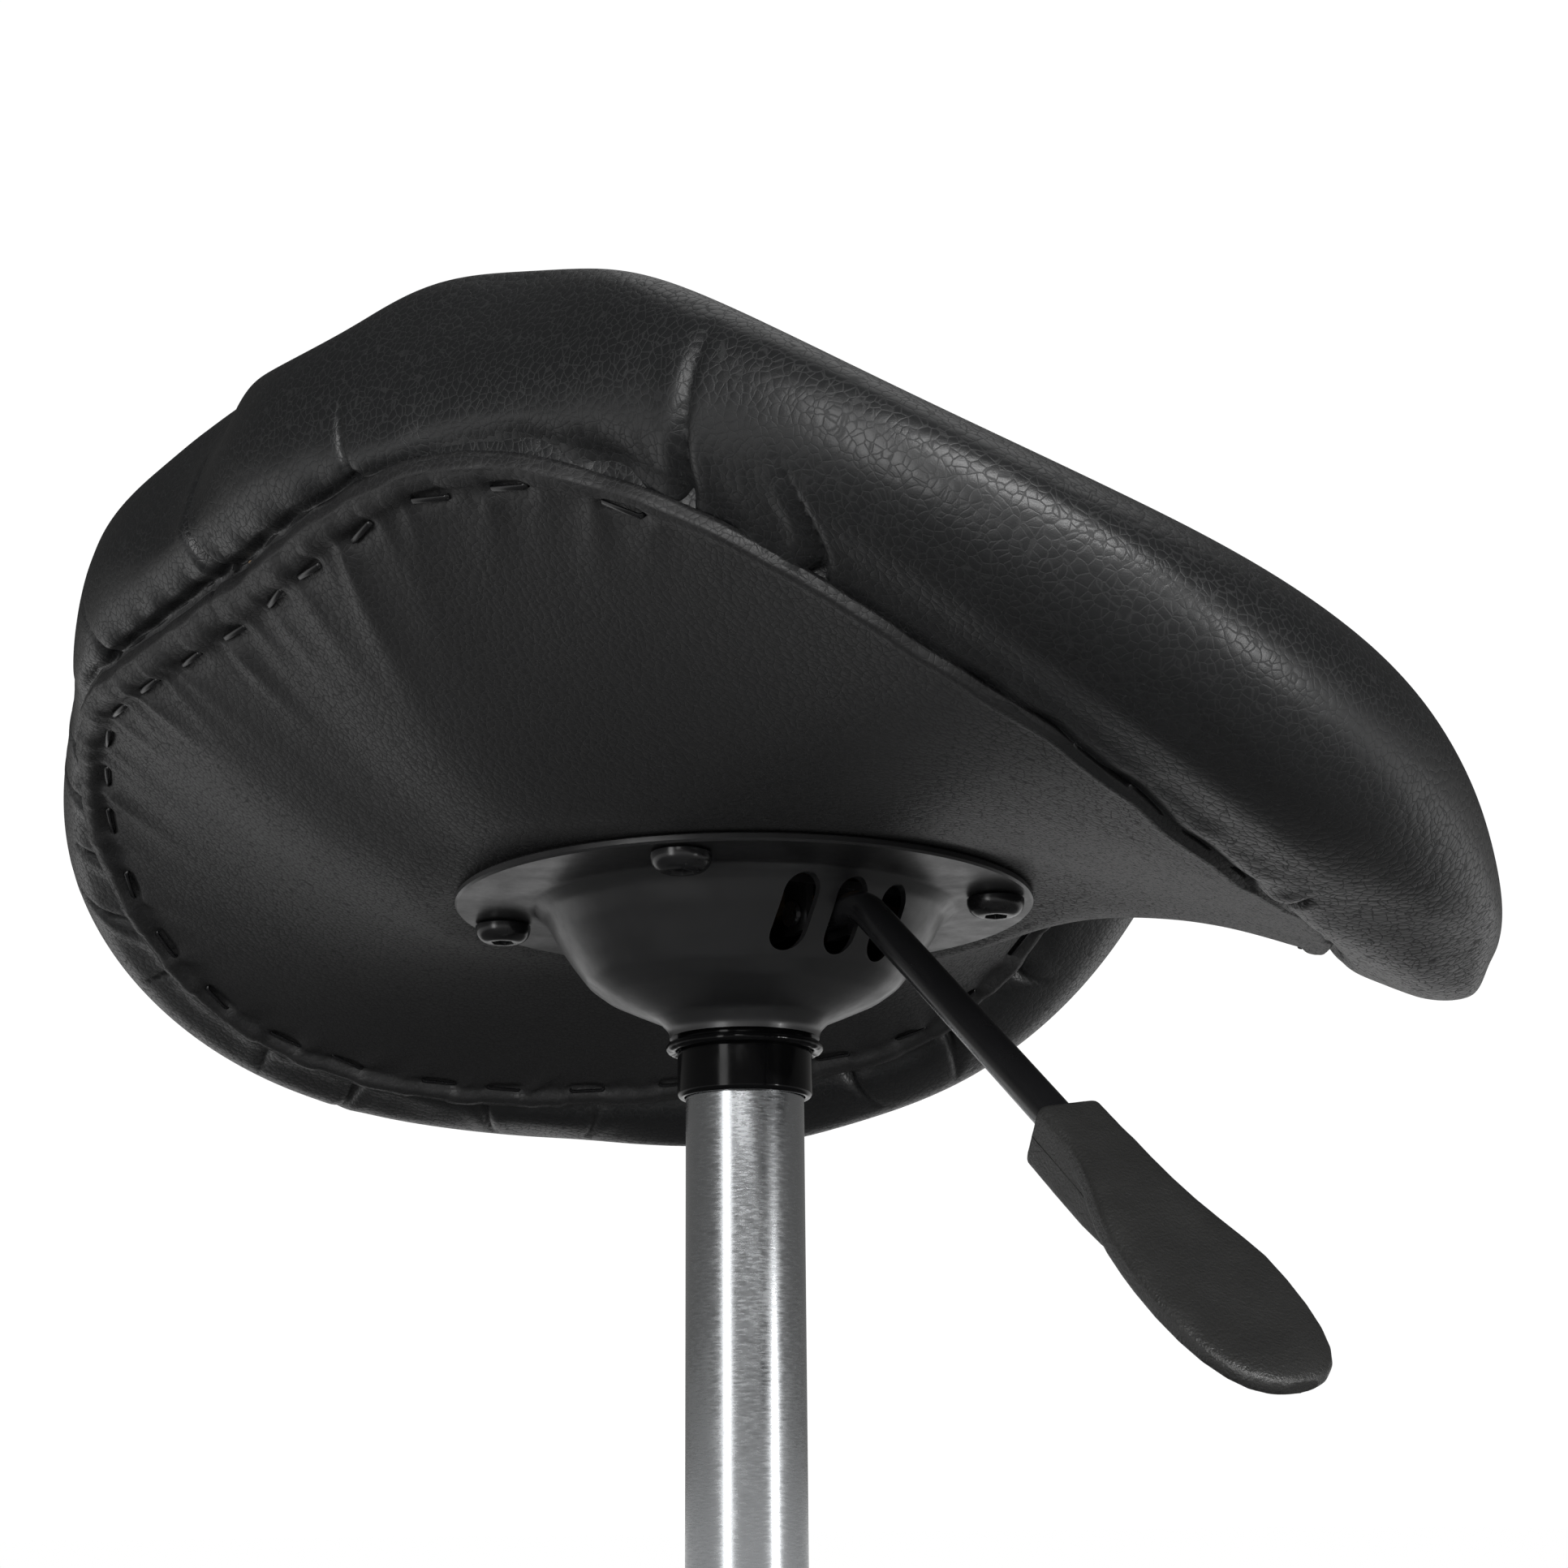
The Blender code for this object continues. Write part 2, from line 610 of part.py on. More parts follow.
def lever_grip():
    """Moulded paddle with a boxy neck that swallows the end of the rod."""
    start, along, level = grip_frame()
    side = Vector((0, 1, 0))
    normal = level * math.cos(GRIP_ROLL) + side * math.sin(GRIP_ROLL)
    across = side * math.cos(GRIP_ROLL) - level * math.sin(GRIP_ROLL)
    sections = []
    for distance, half_y, half_n, power, offset in GRIP_SECTIONS:
        centre = start + along * distance + normal * offset
        loop = [centre + across * y + normal * n
                for y, n in round_points(half_y, half_n, 16, power)]
        sections.append(loop)
    data = loft("lever_grip", sections, 50.0)
    bore = cylinder("rod_bore", ROD_R + GAP, -0.01, GRIP_BORE, 16)
    turned = Matrix.Translation(start) @ along.to_track_quat("Z", "Y").to_matrix().to_4x4()
    return combine("lever_grip", data, [(bore, turned)], "DIFFERENCE")


# ================================================================ gas column
def gas_cylinder():
    """Upper tube: open at the bottom, closed at the top round the valve button."""
    lip = FLANGE_Z + COLLAR_LIP
    bore = TUBE_R - TUBE_WALL
    head = TUBE_TOP - TUBE_HEAD
    profile = [(TUBE_R - 0.0012, TUBE_TOP), (TUBE_R - 0.0004, TUBE_TOP - 0.001),
               (TUBE_R, lip), (TUBE_R, TUBE_BOTTOM + 0.0008), (TUBE_R - 0.0006, TUBE_BOTTOM),
               (bore, TUBE_BOTTOM), (bore, head), (BUTTON_R + GAP, head),
               (BUTTON_R + GAP, TUBE_TOP)]
    return lathe("gas_cylinder", profile, 36)


def release_button():
    """Valve button standing out of the cylinder, just under the lever end."""
    top = FLANGE_Z + PIVOT_Z - ROD_R - GAP
    low = TUBE_TOP - TUBE_HEAD + 0.0005
    profile = [(0, top), (BUTTON_R - 0.0010, top), (BUTTON_R, top - 0.0010), (BUTTON_R, low),
               (0, low)]
    return lathe("release_button", profile, 20)


def rod_guide():
    """Guide and seal pack in the open end of the cylinder."""
    low = TUBE_BOTTOM + 0.002
    bore = TUBE_R - TUBE_WALL
    return ring("rod_guide", PISTON_ROD_R + GAP, bore - GAP, low, low + GUIDE_LENGTH)


def piston_rod():
    """Rod that stands on the column's floor and carries the piston."""
    top = TUBE_BOTTOM + 0.0235
    low = COLUMN_BOTTOM - 0.002
    profile = [(0, top), (PISTON_ROD_R, top), (PISTON_ROD_R, low + 0.001),
               (PISTON_ROD_R - 0.001, low), (0, low)]
    return lathe("piston_rod", profile, 24)


def piston():
    """Piston on the rod's end, just above the guide with the seat fully raised."""
    low = TUBE_BOTTOM + 0.0235 + GAP
    return cylinder("piston", TUBE_R - TUBE_WALL - GAP, low, low + PISTON_LENGTH, 24)


def outer_column():
    """Chromed tube with a tapered foot and a bored floor."""
    bore = OUTER_R - OUTER_WALL
    inner_foot = FOOT_R - OUTER_WALL
    floor_top = COLUMN_FLOOR + FLOOR_THICK
    taper = COLUMN_BOTTOM + TAPER_LENGTH
    profile = [(OUTER_R - 0.0004, COLUMN_TOP), (OUTER_R, COLUMN_TOP - 0.0004),
               (OUTER_R, taper), (FOOT_R, COLUMN_BOTTOM), (inner_foot, COLUMN_BOTTOM),
               (inner_foot, COLUMN_FLOOR), (PISTON_ROD_R + GAP, COLUMN_FLOOR),
               (PISTON_ROD_R + GAP, floor_top), (inner_foot, floor_top),
               (bore, taper), (bore, COLUMN_TOP)]
    return lathe("outer_column", profile, 36)


def guide_bushing():
    """Plastic sleeve the cylinder slides in, with a cap over the column rim."""
    bore = TUBE_R + GAP
    wall = OUTER_R - OUTER_WALL - GAP
    low = COLUMN_TOP - BUSHING_LENGTH
    cap = COLUMN_TOP + GAP
    profile = [(bore + 0.0020, cap + BUSHING_CAP), (OUTER_R - 0.0015, cap + 0.0030),
               (OUTER_R, cap + 0.0010), (OUTER_R, cap), (wall, cap), (wall, low),
               (bore, low), (bore, cap + 0.0036)]
    return lathe("guide_bushing", profile, 36)


# ================================================================ base
def leg_section(distance, half_width, low, high, count=10):
    """Upright rounded outline across an arm."""
    middle = (low + high) / 2
    half = (high - low) / 2
    return [(distance, y, middle + z) for y, z in round_points(half_width, half, count, 3.4)]


def leg_data():
    """One arm of the star, lofted along +X and rounded at the caster end."""
    sections = [leg_section(distance, half_width, LEG_UNDERSIDE + rise, top)
                for distance, half_width, rise, top in ARM_SECTIONS]
    return loft("leg", sections, 50.0)


def base_star():
    """Hub and five arms cast as one piece, bored for the column and the stems."""
    profile = [(0, HUB_TOP), (HUB_R - 0.003, HUB_TOP), (HUB_R, HUB_TOP - 0.003),
               (HUB_R, HUB_BOTTOM + 0.002), (HUB_R - 0.002, HUB_BOTTOM), (0, HUB_BOTTOM)]
    hub = lathe("hub", profile, 30)
    leg = leg_data()
    arms = [(leg, Matrix.Rotation(leg_angle(i), 4, "Z")) for i in range(LEGS)]
    solid = combine("base_star", hub, arms, "UNION")
    taper = COLUMN_BOTTOM + TAPER_LENGTH
    past = 0.012
    end = FOOT_R + GAP - (OUTER_R - FOOT_R) * past / TAPER_LENGTH
    bore = lathe("taper_bore", [(0, taper), (OUTER_R + GAP, taper),
                                (end, COLUMN_BOTTOM - past), (0, COLUMN_BOTTOM - past)], 36)
    tools = [(bore, at())]
    stem = cylinder("stem_bore", STEM_R + GAP, LEG_UNDERSIDE - 0.01, STEM_TOP + GAP, 12)
    for i in range(LEGS):
        a = leg_angle(i)
        tools.append((stem, at(CASTER_CIRCLE * math.cos(a), CASTER_CIRCLE * math.sin(a))))
    return combine("base_star", solid, tools, "DIFFERENCE")


def leg_angle(index):
    """Direction of an arm, in radians from +X."""
    return math.radians(STAR_TURN + index * 360.0 / LEGS)


# ================================================================ casters
def wheel_arc(radius, start, sweep):
    """Side view points on an arc round the wheel's axle, angles in degrees."""
    points = []
    for i in range(HOOD_STEPS + 1):
        a = math.radians(start + sweep * i / HOOD_STEPS)
        points.append((TRAIL + radius * math.cos(a), WHEEL_R + radius * math.sin(a)))
    return points


def hood_data():
    """Fender over both wheels, web between them and the boss for the stem.

    The wheel axle is TRAIL behind the stem, along +X.
    """
    outline = wheel_arc(HOOD_R, -8.0, 188.0) + wheel_arc(HOOD_INNER, -8.0, 188.0)[::-1]
    fender = bridge("fender", outline, WHEEL_OFFSET + WHEEL_WIDTH / 2 + 0.0006)
    web_edge = wheel_arc(HOOD_INNER + 0.001, -20.0, 220.0)
    web = bridge("web", web_edge, WHEEL_OFFSET - WHEEL_WIDTH / 2 - 0.0008)
    boss = cylinder("boss", BOSS_R, BOSS_LOW, BOSS_TOP, 14)
    solid = combine("caster_hood", fender, [(web, at()), (boss, at())], "UNION")
    stem_bore = cylinder("stem_bore", STEM_R + GAP, STEM_LOW - GAP, BOSS_TOP + 0.01, 12)
    axle_bore = cylinder("axle_bore", AXLE_R + GAP, -0.03, 0.03, 10)
    turned = at(TRAIL, 0, WHEEL_R) @ Matrix.Rotation(math.pi / 2, 4, "X")
    return combine("caster_hood", solid, [(stem_bore, at()), (axle_bore, turned)],
                   "DIFFERENCE")


def bridge(name, outline, half):
    """Extrude an XZ outline symmetrically along Y."""
    sections = [[(x, y, z) for x, z in outline] for y in (-half, half)]
    return loft(name, sections)


def wheel_data():
    """Solid wheel spinning about Y, tread rounded, with a dished outer face."""
    half = WHEEL_WIDTH / 2
    rim = WHEEL_R
    profile = [(rim - 0.0030, half), (rim, half - 0.0035), (rim, -half + 0.0010),
               (rim - 0.0010, -half), (AXLE_R + GAP, -half), (AXLE_R + GAP, half - 0.0030)]
    data = lathe("wheel", profile, WHEEL_SIDES)
    data.transform(Matrix.Rotation(-math.pi / 2, 4, "X"))
    return data


def axle_data():
    """Axle through both wheels and the web, lying along Y."""
    half = WHEEL_OFFSET + WHEEL_WIDTH / 2 - 0.0040
    data = cylinder("axle", AXLE_R, -half, half, 10)
    data.transform(Matrix.Rotation(math.pi / 2, 4, "X"))
    return data


def stem_data():
    """Stem that stands in the arm's bore and in the hood's boss."""
    profile = [(0, STEM_TOP), (STEM_R - 0.001, STEM_TOP), (STEM_R, STEM_TOP - 0.001),
               (STEM_R, STEM_LOW), (0, STEM_LOW)]
    return lathe("stem", profile, 12)


# ================================================================ assembly
def bearing_stack():
    """Rings on the column's floor, bottom up: (name, outer radius, low, high)."""
    rows = (("bearing_race_lower", RACE_R, RACE_THICK), ("bearing_ball_cage", CAGE_R, BALL_HEIGHT),
            ("bearing_race_upper", RACE_R, RACE_THICK), ("rubber_buffer", BUFFER_R, BUFFER_LENGTH))
    stack = {}
    low = COLUMN_FLOOR + FLOOR_THICK + GAP
    for name, outer, thick in rows:
        stack[name] = ring(name, PISTON_ROD_R + GAP, outer, low, low + thick)
        low += thick + GAP
    return stack


def build_base(mats):
    """Pieces that only roll about with the base."""
    place("base_star", base_star(), mats["chrome_base"])
    place("outer_column", outer_column(), mats["chrome_column"])
    place("guide_bushing", guide_bushing(), mats["bushing_plastic"])
    stack = bearing_stack()
    place("bearing_race_lower", stack["bearing_race_lower"], mats["bearing_steel"])
    place("bearing_ball_cage", stack["bearing_ball_cage"], mats["brass_cage"])


def build_rod(mats):
    """Pieces that swivel in the column but keep their height."""
    axis = pivot("swivel_axis", (0, 0, 0))
    place("piston_rod", piston_rod(), mats["rod_chrome"], axis)
    place("piston", piston(), mats["piston_nylon"], axis)
    stack = bearing_stack()
    place("bearing_race_upper", stack["bearing_race_upper"], mats["bearing_steel"], axis)
    place("rubber_buffer", stack["rubber_buffer"], mats["buffer_rubber"], axis)
    high = COLUMN_FLOOR - GAP
    clip = ring("retaining_clip", PISTON_ROD_R + GAP, CLIP_R, high - CLIP_THICK, high)
    place("retaining_clip", clip, mats["spring_steel"], axis)


def build_seat(mats):
    """Pieces that swivel and rise, with the lever and the button hung from them."""
    saddle = Saddle(SEAT_SIDES)
    carriage = pivot("seat_carriage", (0, 0, 0))
    place("seat_cushion", seat_cushion(saddle), mats["black_leatherette"], carriage)
    place("seat_board", seat_board(saddle), mats["plywood"], carriage)
    place("underside_cover", underside_cover(saddle), mats["underside_vinyl"], carriage)
    nut = t_nut()
    bolt = seat_bolt()
    for index, a in enumerate(bolt_angles(), start=1):
        spot = (BOLT_CIRCLE * math.cos(a), BOLT_CIRCLE * math.sin(a), FLANGE_Z)
        place(f"t_nut_{index}", nut, mats["zinc_nut"], carriage, spot)
        place(f"seat_bolt_{index}", bolt, mats["black_screw"], carriage, spot)
    level = (0, 0, FLANGE_Z)
    place("bell_plate", bell_plate(), mats["bell_paint"], carriage, level)
    place("neck_ring", neck_ring(), mats["weld_paint"], carriage, level)
    place("socket_tube", socket_tube(), mats["collar_paint"], carriage, level)
    place("lever_bracket", lever_bracket(), mats["bracket_paint"], carriage, level)
    hinge = (PIVOT_X, 0, FLANGE_Z + PIVOT_Z)
    place("pivot_pin", pivot_pin(), mats["pin_steel"], carriage, hinge)
    place("gas_cylinder", gas_cylinder(), mats["cylinder_steel"], carriage)
    place("rod_guide", rod_guide(), mats["seal_rubber"], carriage)
    place("release_button", release_button(), mats["button_steel"], carriage)
    lever = pivot("lever_axis", hinge, carriage)
    place("lever_rod", lever_rod(), mats["rod_paint"], lever)
    place("lever_grip", lever_grip(), mats["grip_plastic"], lever)


def build_casters(mats):
    """Five casters on their stems, the same pieces each time."""
    hood = hood_data()
    wheel = wheel_data()
    axle = axle_data()
    stem = stem_data()
    for index in range(LEGS):
        n = index + 1
        a = leg_angle(index)
        spot = (CASTER_CIRCLE * math.cos(a), CASTER_CIRCLE * math.sin(a), 0.0)
        turn = a + math.radians(CASTER_TURN[index])
        swivel = pivot(f"caster_{n}_axis", spot, None, turn)
        place(f"caster_{n}_hood", hood, mats["hood_nylon"], swivel)
        place(f"caster_{n}_stem", stem, mats["stem_steel"], swivel)
        place(f"caster_{n}_axle", axle, mats["axle_steel"], swivel, (TRAIL, 0, WHEEL_R))
        place(f"caster_{n}_wheel_left", wheel, mats["wheel_nylon"], swivel,
              (TRAIL, WHEEL_OFFSET, WHEEL_R))
        place(f"caster_{n}_wheel_right", wheel, mats["wheel_nylon"], swivel,
              (TRAIL, -WHEEL_OFFSET, WHEEL_R), math.pi)


def build_materials():
    """Each row is colour, roughness and metallic."""
    table = {
        "black_leatherette": ((0.012, 0.012, 0.013), 0.38, 0.0),
        "underside_vinyl": ((0.014, 0.014, 0.015), 0.48, 0.0),
        "plywood": ((0.45, 0.30, 0.17), 0.65, 0.0),
        "zinc_nut": ((0.62, 0.60, 0.55), 0.35, 1.0),
        "black_screw": ((0.02, 0.02, 0.022), 0.35, 0.6),
        "bell_paint": ((0.015, 0.015, 0.016), 0.30, 0.0),
        "weld_paint": ((0.013, 0.013, 0.014), 0.35, 0.0),
        "collar_paint": ((0.008, 0.008, 0.009), 0.18, 0.0),
        "bracket_paint": ((0.02, 0.02, 0.02), 0.40, 0.0),
        "pin_steel": ((0.50, 0.50, 0.50), 0.30, 1.0),
        "cylinder_steel": ((0.62, 0.63, 0.64), 0.22, 1.0),
        "seal_rubber": ((0.03, 0.03, 0.03), 0.60, 0.0),
        "button_steel": ((0.40, 0.40, 0.41), 0.35, 1.0),
        "rod_paint": ((0.012, 0.012, 0.013), 0.28, 0.0),
        "grip_plastic": ((0.022, 0.022, 0.023), 0.52, 0.0),
        "rod_chrome": ((0.75, 0.75, 0.76), 0.10, 1.0),
        "piston_nylon": ((0.70, 0.68, 0.62), 0.50, 0.0),
        "buffer_rubber": ((0.02, 0.02, 0.02), 0.75, 0.0),
        "spring_steel": ((0.30, 0.30, 0.32), 0.35, 1.0),
        "chrome_base": ((0.80, 0.80, 0.81), 0.08, 1.0),
        "chrome_column": ((0.78, 0.78, 0.79), 0.10, 1.0),
        "bushing_plastic": ((0.025, 0.025, 0.026), 0.45, 0.0),
        "bearing_steel": ((0.55, 0.55, 0.56), 0.25, 1.0),
        "brass_cage": ((0.65, 0.48, 0.20), 0.35, 1.0),
        "hood_nylon": ((0.020, 0.020, 0.021), 0.40, 0.0),
        "stem_steel": ((0.55, 0.55, 0.56), 0.30, 1.0),
        "axle_steel": ((0.50, 0.50, 0.51), 0.30, 1.0),
        "wheel_nylon": ((0.016, 0.016, 0.017), 0.45, 0.0),
    }
    return {name: material(name, *values) for name, values in table.items()}


def main():
    clear_scene()
    mats = build_materials()
    build_base(mats)
    build_rod(mats)
    build_seat(mats)
    build_casters(mats)


main()
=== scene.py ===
"""Looks of the rolling stylist stool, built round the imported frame."""

import json
import math

import bmesh
import bpy
import numpy as np
from mathutils import Matrix, Vector, noise
from mathutils.bvhtree import BVHTree


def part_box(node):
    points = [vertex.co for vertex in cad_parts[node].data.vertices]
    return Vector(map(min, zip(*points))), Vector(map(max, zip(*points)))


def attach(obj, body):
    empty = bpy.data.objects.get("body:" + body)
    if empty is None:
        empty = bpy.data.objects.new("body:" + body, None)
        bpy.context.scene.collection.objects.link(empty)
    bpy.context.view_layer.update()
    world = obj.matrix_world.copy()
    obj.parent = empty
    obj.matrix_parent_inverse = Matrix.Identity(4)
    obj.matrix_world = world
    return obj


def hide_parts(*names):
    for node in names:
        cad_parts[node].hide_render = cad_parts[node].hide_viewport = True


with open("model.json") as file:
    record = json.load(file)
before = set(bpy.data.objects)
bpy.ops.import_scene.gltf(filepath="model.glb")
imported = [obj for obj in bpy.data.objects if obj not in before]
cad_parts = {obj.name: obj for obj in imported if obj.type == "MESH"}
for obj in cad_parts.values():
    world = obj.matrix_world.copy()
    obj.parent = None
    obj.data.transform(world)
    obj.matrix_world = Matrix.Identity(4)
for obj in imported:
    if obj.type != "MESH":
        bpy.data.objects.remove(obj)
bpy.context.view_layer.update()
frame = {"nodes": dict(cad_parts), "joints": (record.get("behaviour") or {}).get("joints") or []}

NODES = frame["nodes"]
JOINTS = {joint["name"]: joint for joint in frame["joints"]}
FLANGE_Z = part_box("bell_plate")[1].z
LEVER_DROP = math.radians(40.5)      # slope of the lever past its bend
GRIP_ROLL = math.radians(12.0)       # turn of the grip about its own length


# ================================================================ node helpers
class Tree:
    """A node tree with short calls for the nodes used here."""

    def __init__(self, tree):
        self.tree = tree

    def node(self, kind, **settings):
        made = self.tree.nodes.new(kind)
        for key, value in settings.items():
            if key in made.inputs:
                made.inputs[key].default_value = value
            else:
                setattr(made, key, value)
        return made

    def link(self, source, target):
        self.tree.links.new(source, target)

    def place(self, scale=(1.0, 1.0, 1.0)):
        """Object coordinates, stretched by scale."""
        coord = self.node("ShaderNodeTexCoord")
        mapping = self.node("ShaderNodeMapping")
        mapping.inputs["Scale"].default_value = scale
        self.link(coord.outputs["Object"], mapping.inputs["Vector"])
        return mapping.outputs["Vector"]

    def noise(self, where, scale, detail=3.0, rough=0.5):
        made = self.node("ShaderNodeTexNoise", Scale=scale, Detail=detail, Roughness=rough)
        self.link(where, made.inputs["Vector"])
        return made.outputs["Fac"]

    def cells(self, where, scale, feature="DISTANCE_TO_EDGE"):
        made = self.node("ShaderNodeTexVoronoi", feature=feature, Scale=scale)
        self.link(where, made.inputs["Vector"])
        return made.outputs["Distance"]

    def span(self, value, from_low, from_high, to_low, to_high, ease="LINEAR"):
        ends = {"From Min": from_low, "From Max": from_high, "To Min": to_low, "To Max": to_high}
        made = self.node("ShaderNodeMapRange", interpolation_type=ease, **ends)
        self.link(value, made.inputs["Value"])
        return made.outputs["Result"]

    def soft_span(self, value, low, high, start=0.0, end=1.0):
        """Ease from start to end between low and high."""
        return self.span(value, low, high, start, end, "SMOOTHSTEP")

    def math(self, operation, first, second):
        made = self.node("ShaderNodeMath", operation=operation)
        for index, value in enumerate((first, second)):
            if isinstance(value, (int, float)):
                made.inputs[index].default_value = value
            else:
                self.link(value, made.inputs[index])
        return made.outputs["Value"]

    def bump(self, height, strength, distance, before=None):
        made = self.node("ShaderNodeBump", Strength=strength, Distance=distance)
        self.link(height, made.inputs["Height"])
        if before is not None:
            self.link(before, made.inputs["Normal"])
        return made.outputs["Normal"]

    def mix(self, factor, first, second):
        made = self.node("ShaderNodeMixShader")
        for index, value in enumerate((factor, first, second)):
            self.link(value, made.inputs[index])
        return made.outputs["Shader"]


class Shader(Tree):
    """A material, with its Principled BSDF as the node that things are set on."""

    def __init__(self, name, colour, roughness, metallic=0.0):
        self.mat = bpy.data.materials.new(name)
        self.mat.use_nodes = True
        super().__init__(self.mat.node_tree)
        self.out = self.tree.nodes["Principled BSDF"]
        self.set("Base Color", (*colour, 1.0))
        self.set("Roughness", roughness)
        self.set("Metallic", metallic)
        self.mat.diffuse_color = (*colour, 1.0)

    def set(self, socket, value):
        self.out.inputs[socket].default_value = value

    def normal(self, value):
        self.link(value, self.out.inputs["Normal"])

    def roughness(self, value):
        self.link(value, self.out.inputs["Roughness"])

    def tint(self, value, low, high):
        ramp = self.node("ShaderNodeMix", data_type="RGBA")
        ramp.inputs["A"].default_value = (*low, 1.0)
        ramp.inputs["B"].default_value = (*high, 1.0)
        self.link(value, ramp.inputs["Factor"])
        self.link(ramp.outputs["Result"], self.out.inputs["Base Color"])


# ================================================================ materials
def leather(name, colour, grain, strength, roughness):
    """Pebbled leather: rounded cells parted by thin creases, pores and broad waves."""
    s = Shader(name, colour, roughness)
    where = s.place()
    warp = s.node("ShaderNodeTexNoise", Scale=grain * 0.45, Detail=1.0)
    s.link(where, warp.inputs["Vector"])
    shift = s.node("ShaderNodeVectorMath", operation="MULTIPLY_ADD")
    shift.inputs[1].default_value = (0.9 / grain, 0.9 / grain, 0.9 / grain)
    s.link(warp.outputs["Color"], shift.inputs[0])
    s.link(where, shift.inputs[2])
    bent = shift.outputs["Vector"]
    crease = s.soft_span(s.cells(bent, grain), 0.0, 0.10)
    minor = s.soft_span(s.cells(bent, grain * 2.1), 0.0, 0.12)
    dome = s.soft_span(s.cells(bent, grain, "F1"), 0.9, 0.1)
    patch = s.noise(where, 20.0, 2.0)
    depth = s.span(patch, 0.35, 0.65, 0.55, 1.0)
    relief = s.math("ADD", s.math("MULTIPLY", crease, 0.4), s.math("MULTIPLY", minor, 0.10))
    relief = s.math("ADD", relief, s.math("MULTIPLY", dome, 0.8))
    relief = s.math("MULTIPLY", relief, depth)
    broad = s.bump(s.noise(where, 70.0, 3.0), 0.12, 0.002)
    fine = s.bump(s.noise(where, grain * 5.0, 2.0), 0.08 * strength, 0.0002, broad)
    s.normal(s.bump(relief, 0.42 * strength, 0.00035, fine))
    s.roughness(s.span(crease, 0.0, 1.0, roughness + 0.25, roughness))
    s.tint(s.noise(where, 35.0, 4.0), colour, tuple(c * 1.3 for c in colour))
    return s.mat


def paint(name, colour, roughness, peel=0.05, gloss=0.5):
    """Sprayed enamel with faint orange peel and handling marks."""
    s = Shader(name, colour, roughness)
    where = s.place()
    s.normal(s.bump(s.noise(where, 420.0, 2.0), peel, 0.0003))
    marks = s.noise(where, 130.0, 6.0, 0.65)
    s.roughness(s.span(marks, 0.35, 0.75, roughness - 0.04, roughness + 0.12))
    s.tint(s.noise(where, 60.0, 4.0), colour, tuple(c * 1.4 for c in colour))
    s.set("Specular IOR Level", gloss)
    s.set("Coat Weight", 0.15 * gloss)
    s.set("Coat Roughness", 0.12)
    return s.mat


def drawn_steel(name, colour, roughness, stretch, relief=0.07):
    """Bright metal with fine turning marks, drawn out by stretch, and small stains."""
    s = Shader(name, colour, roughness, 1.0)
    lines = s.noise(s.place(stretch), 900.0, 3.0, 0.6)
    stains = s.noise(s.place((1.0, 1.0, 0.35)), 70.0, 6.0, 0.7)
    low = s.span(lines, 0.3, 0.7, roughness - 0.05, roughness + 0.08)
    high = s.span(stains, 0.5, 0.8, 0.0, 0.14)
    s.roughness(s.math("ADD", low, high))
    s.normal(s.bump(lines, relief, 0.0002))
    s.tint(stains, colour, tuple(c * 0.80 for c in colour))
    s.set("Anisotropic", 0.35)
    return s.mat


def polished(name, colour, roughness):
    """Polished plated metal with soft buffing marks and finger smears."""
    s = Shader(name, colour, roughness, 1.0)
    where = s.place()
    smear = s.noise(where, 28.0, 5.0, 0.6)
    s.roughness(s.span(smear, 0.3, 0.8, roughness, roughness + 0.13))
    s.normal(s.bump(s.noise(where, 240.0, 2.0), 0.03, 0.0004))
    s.tint(smear, colour, tuple(c * 0.90 for c in colour))
    return s.mat


def plastic(name, colour, roughness, texture, strength=0.25):
    """Moulded plastic with a fine spark-eroded texture and scuffs."""
    s = Shader(name, colour, roughness)
    where = s.place()
    s.normal(s.bump(s.noise(where, texture, 2.0, 0.6), strength, 0.0003))
    scuff = s.noise(where, 90.0, 6.0, 0.7)
    s.roughness(s.span(scuff, 0.4, 0.75, roughness, roughness + 0.12))
    s.tint(scuff, colour, tuple(c * 1.35 for c in colour))
    return s.mat


def plywood(name):
    """Wood veneer with long grain and darker streaks."""
    s = Shader(name, (0.45, 0.30, 0.17), 0.6)
    grain = s.noise(s.place((9.0, 1.0, 1.0)), 26.0, 6.0, 0.6)
    s.tint(grain, (0.34, 0.21, 0.11), (0.55, 0.38, 0.22))
    s.normal(s.bump(grain, 0.2, 0.0004))
    return s.mat


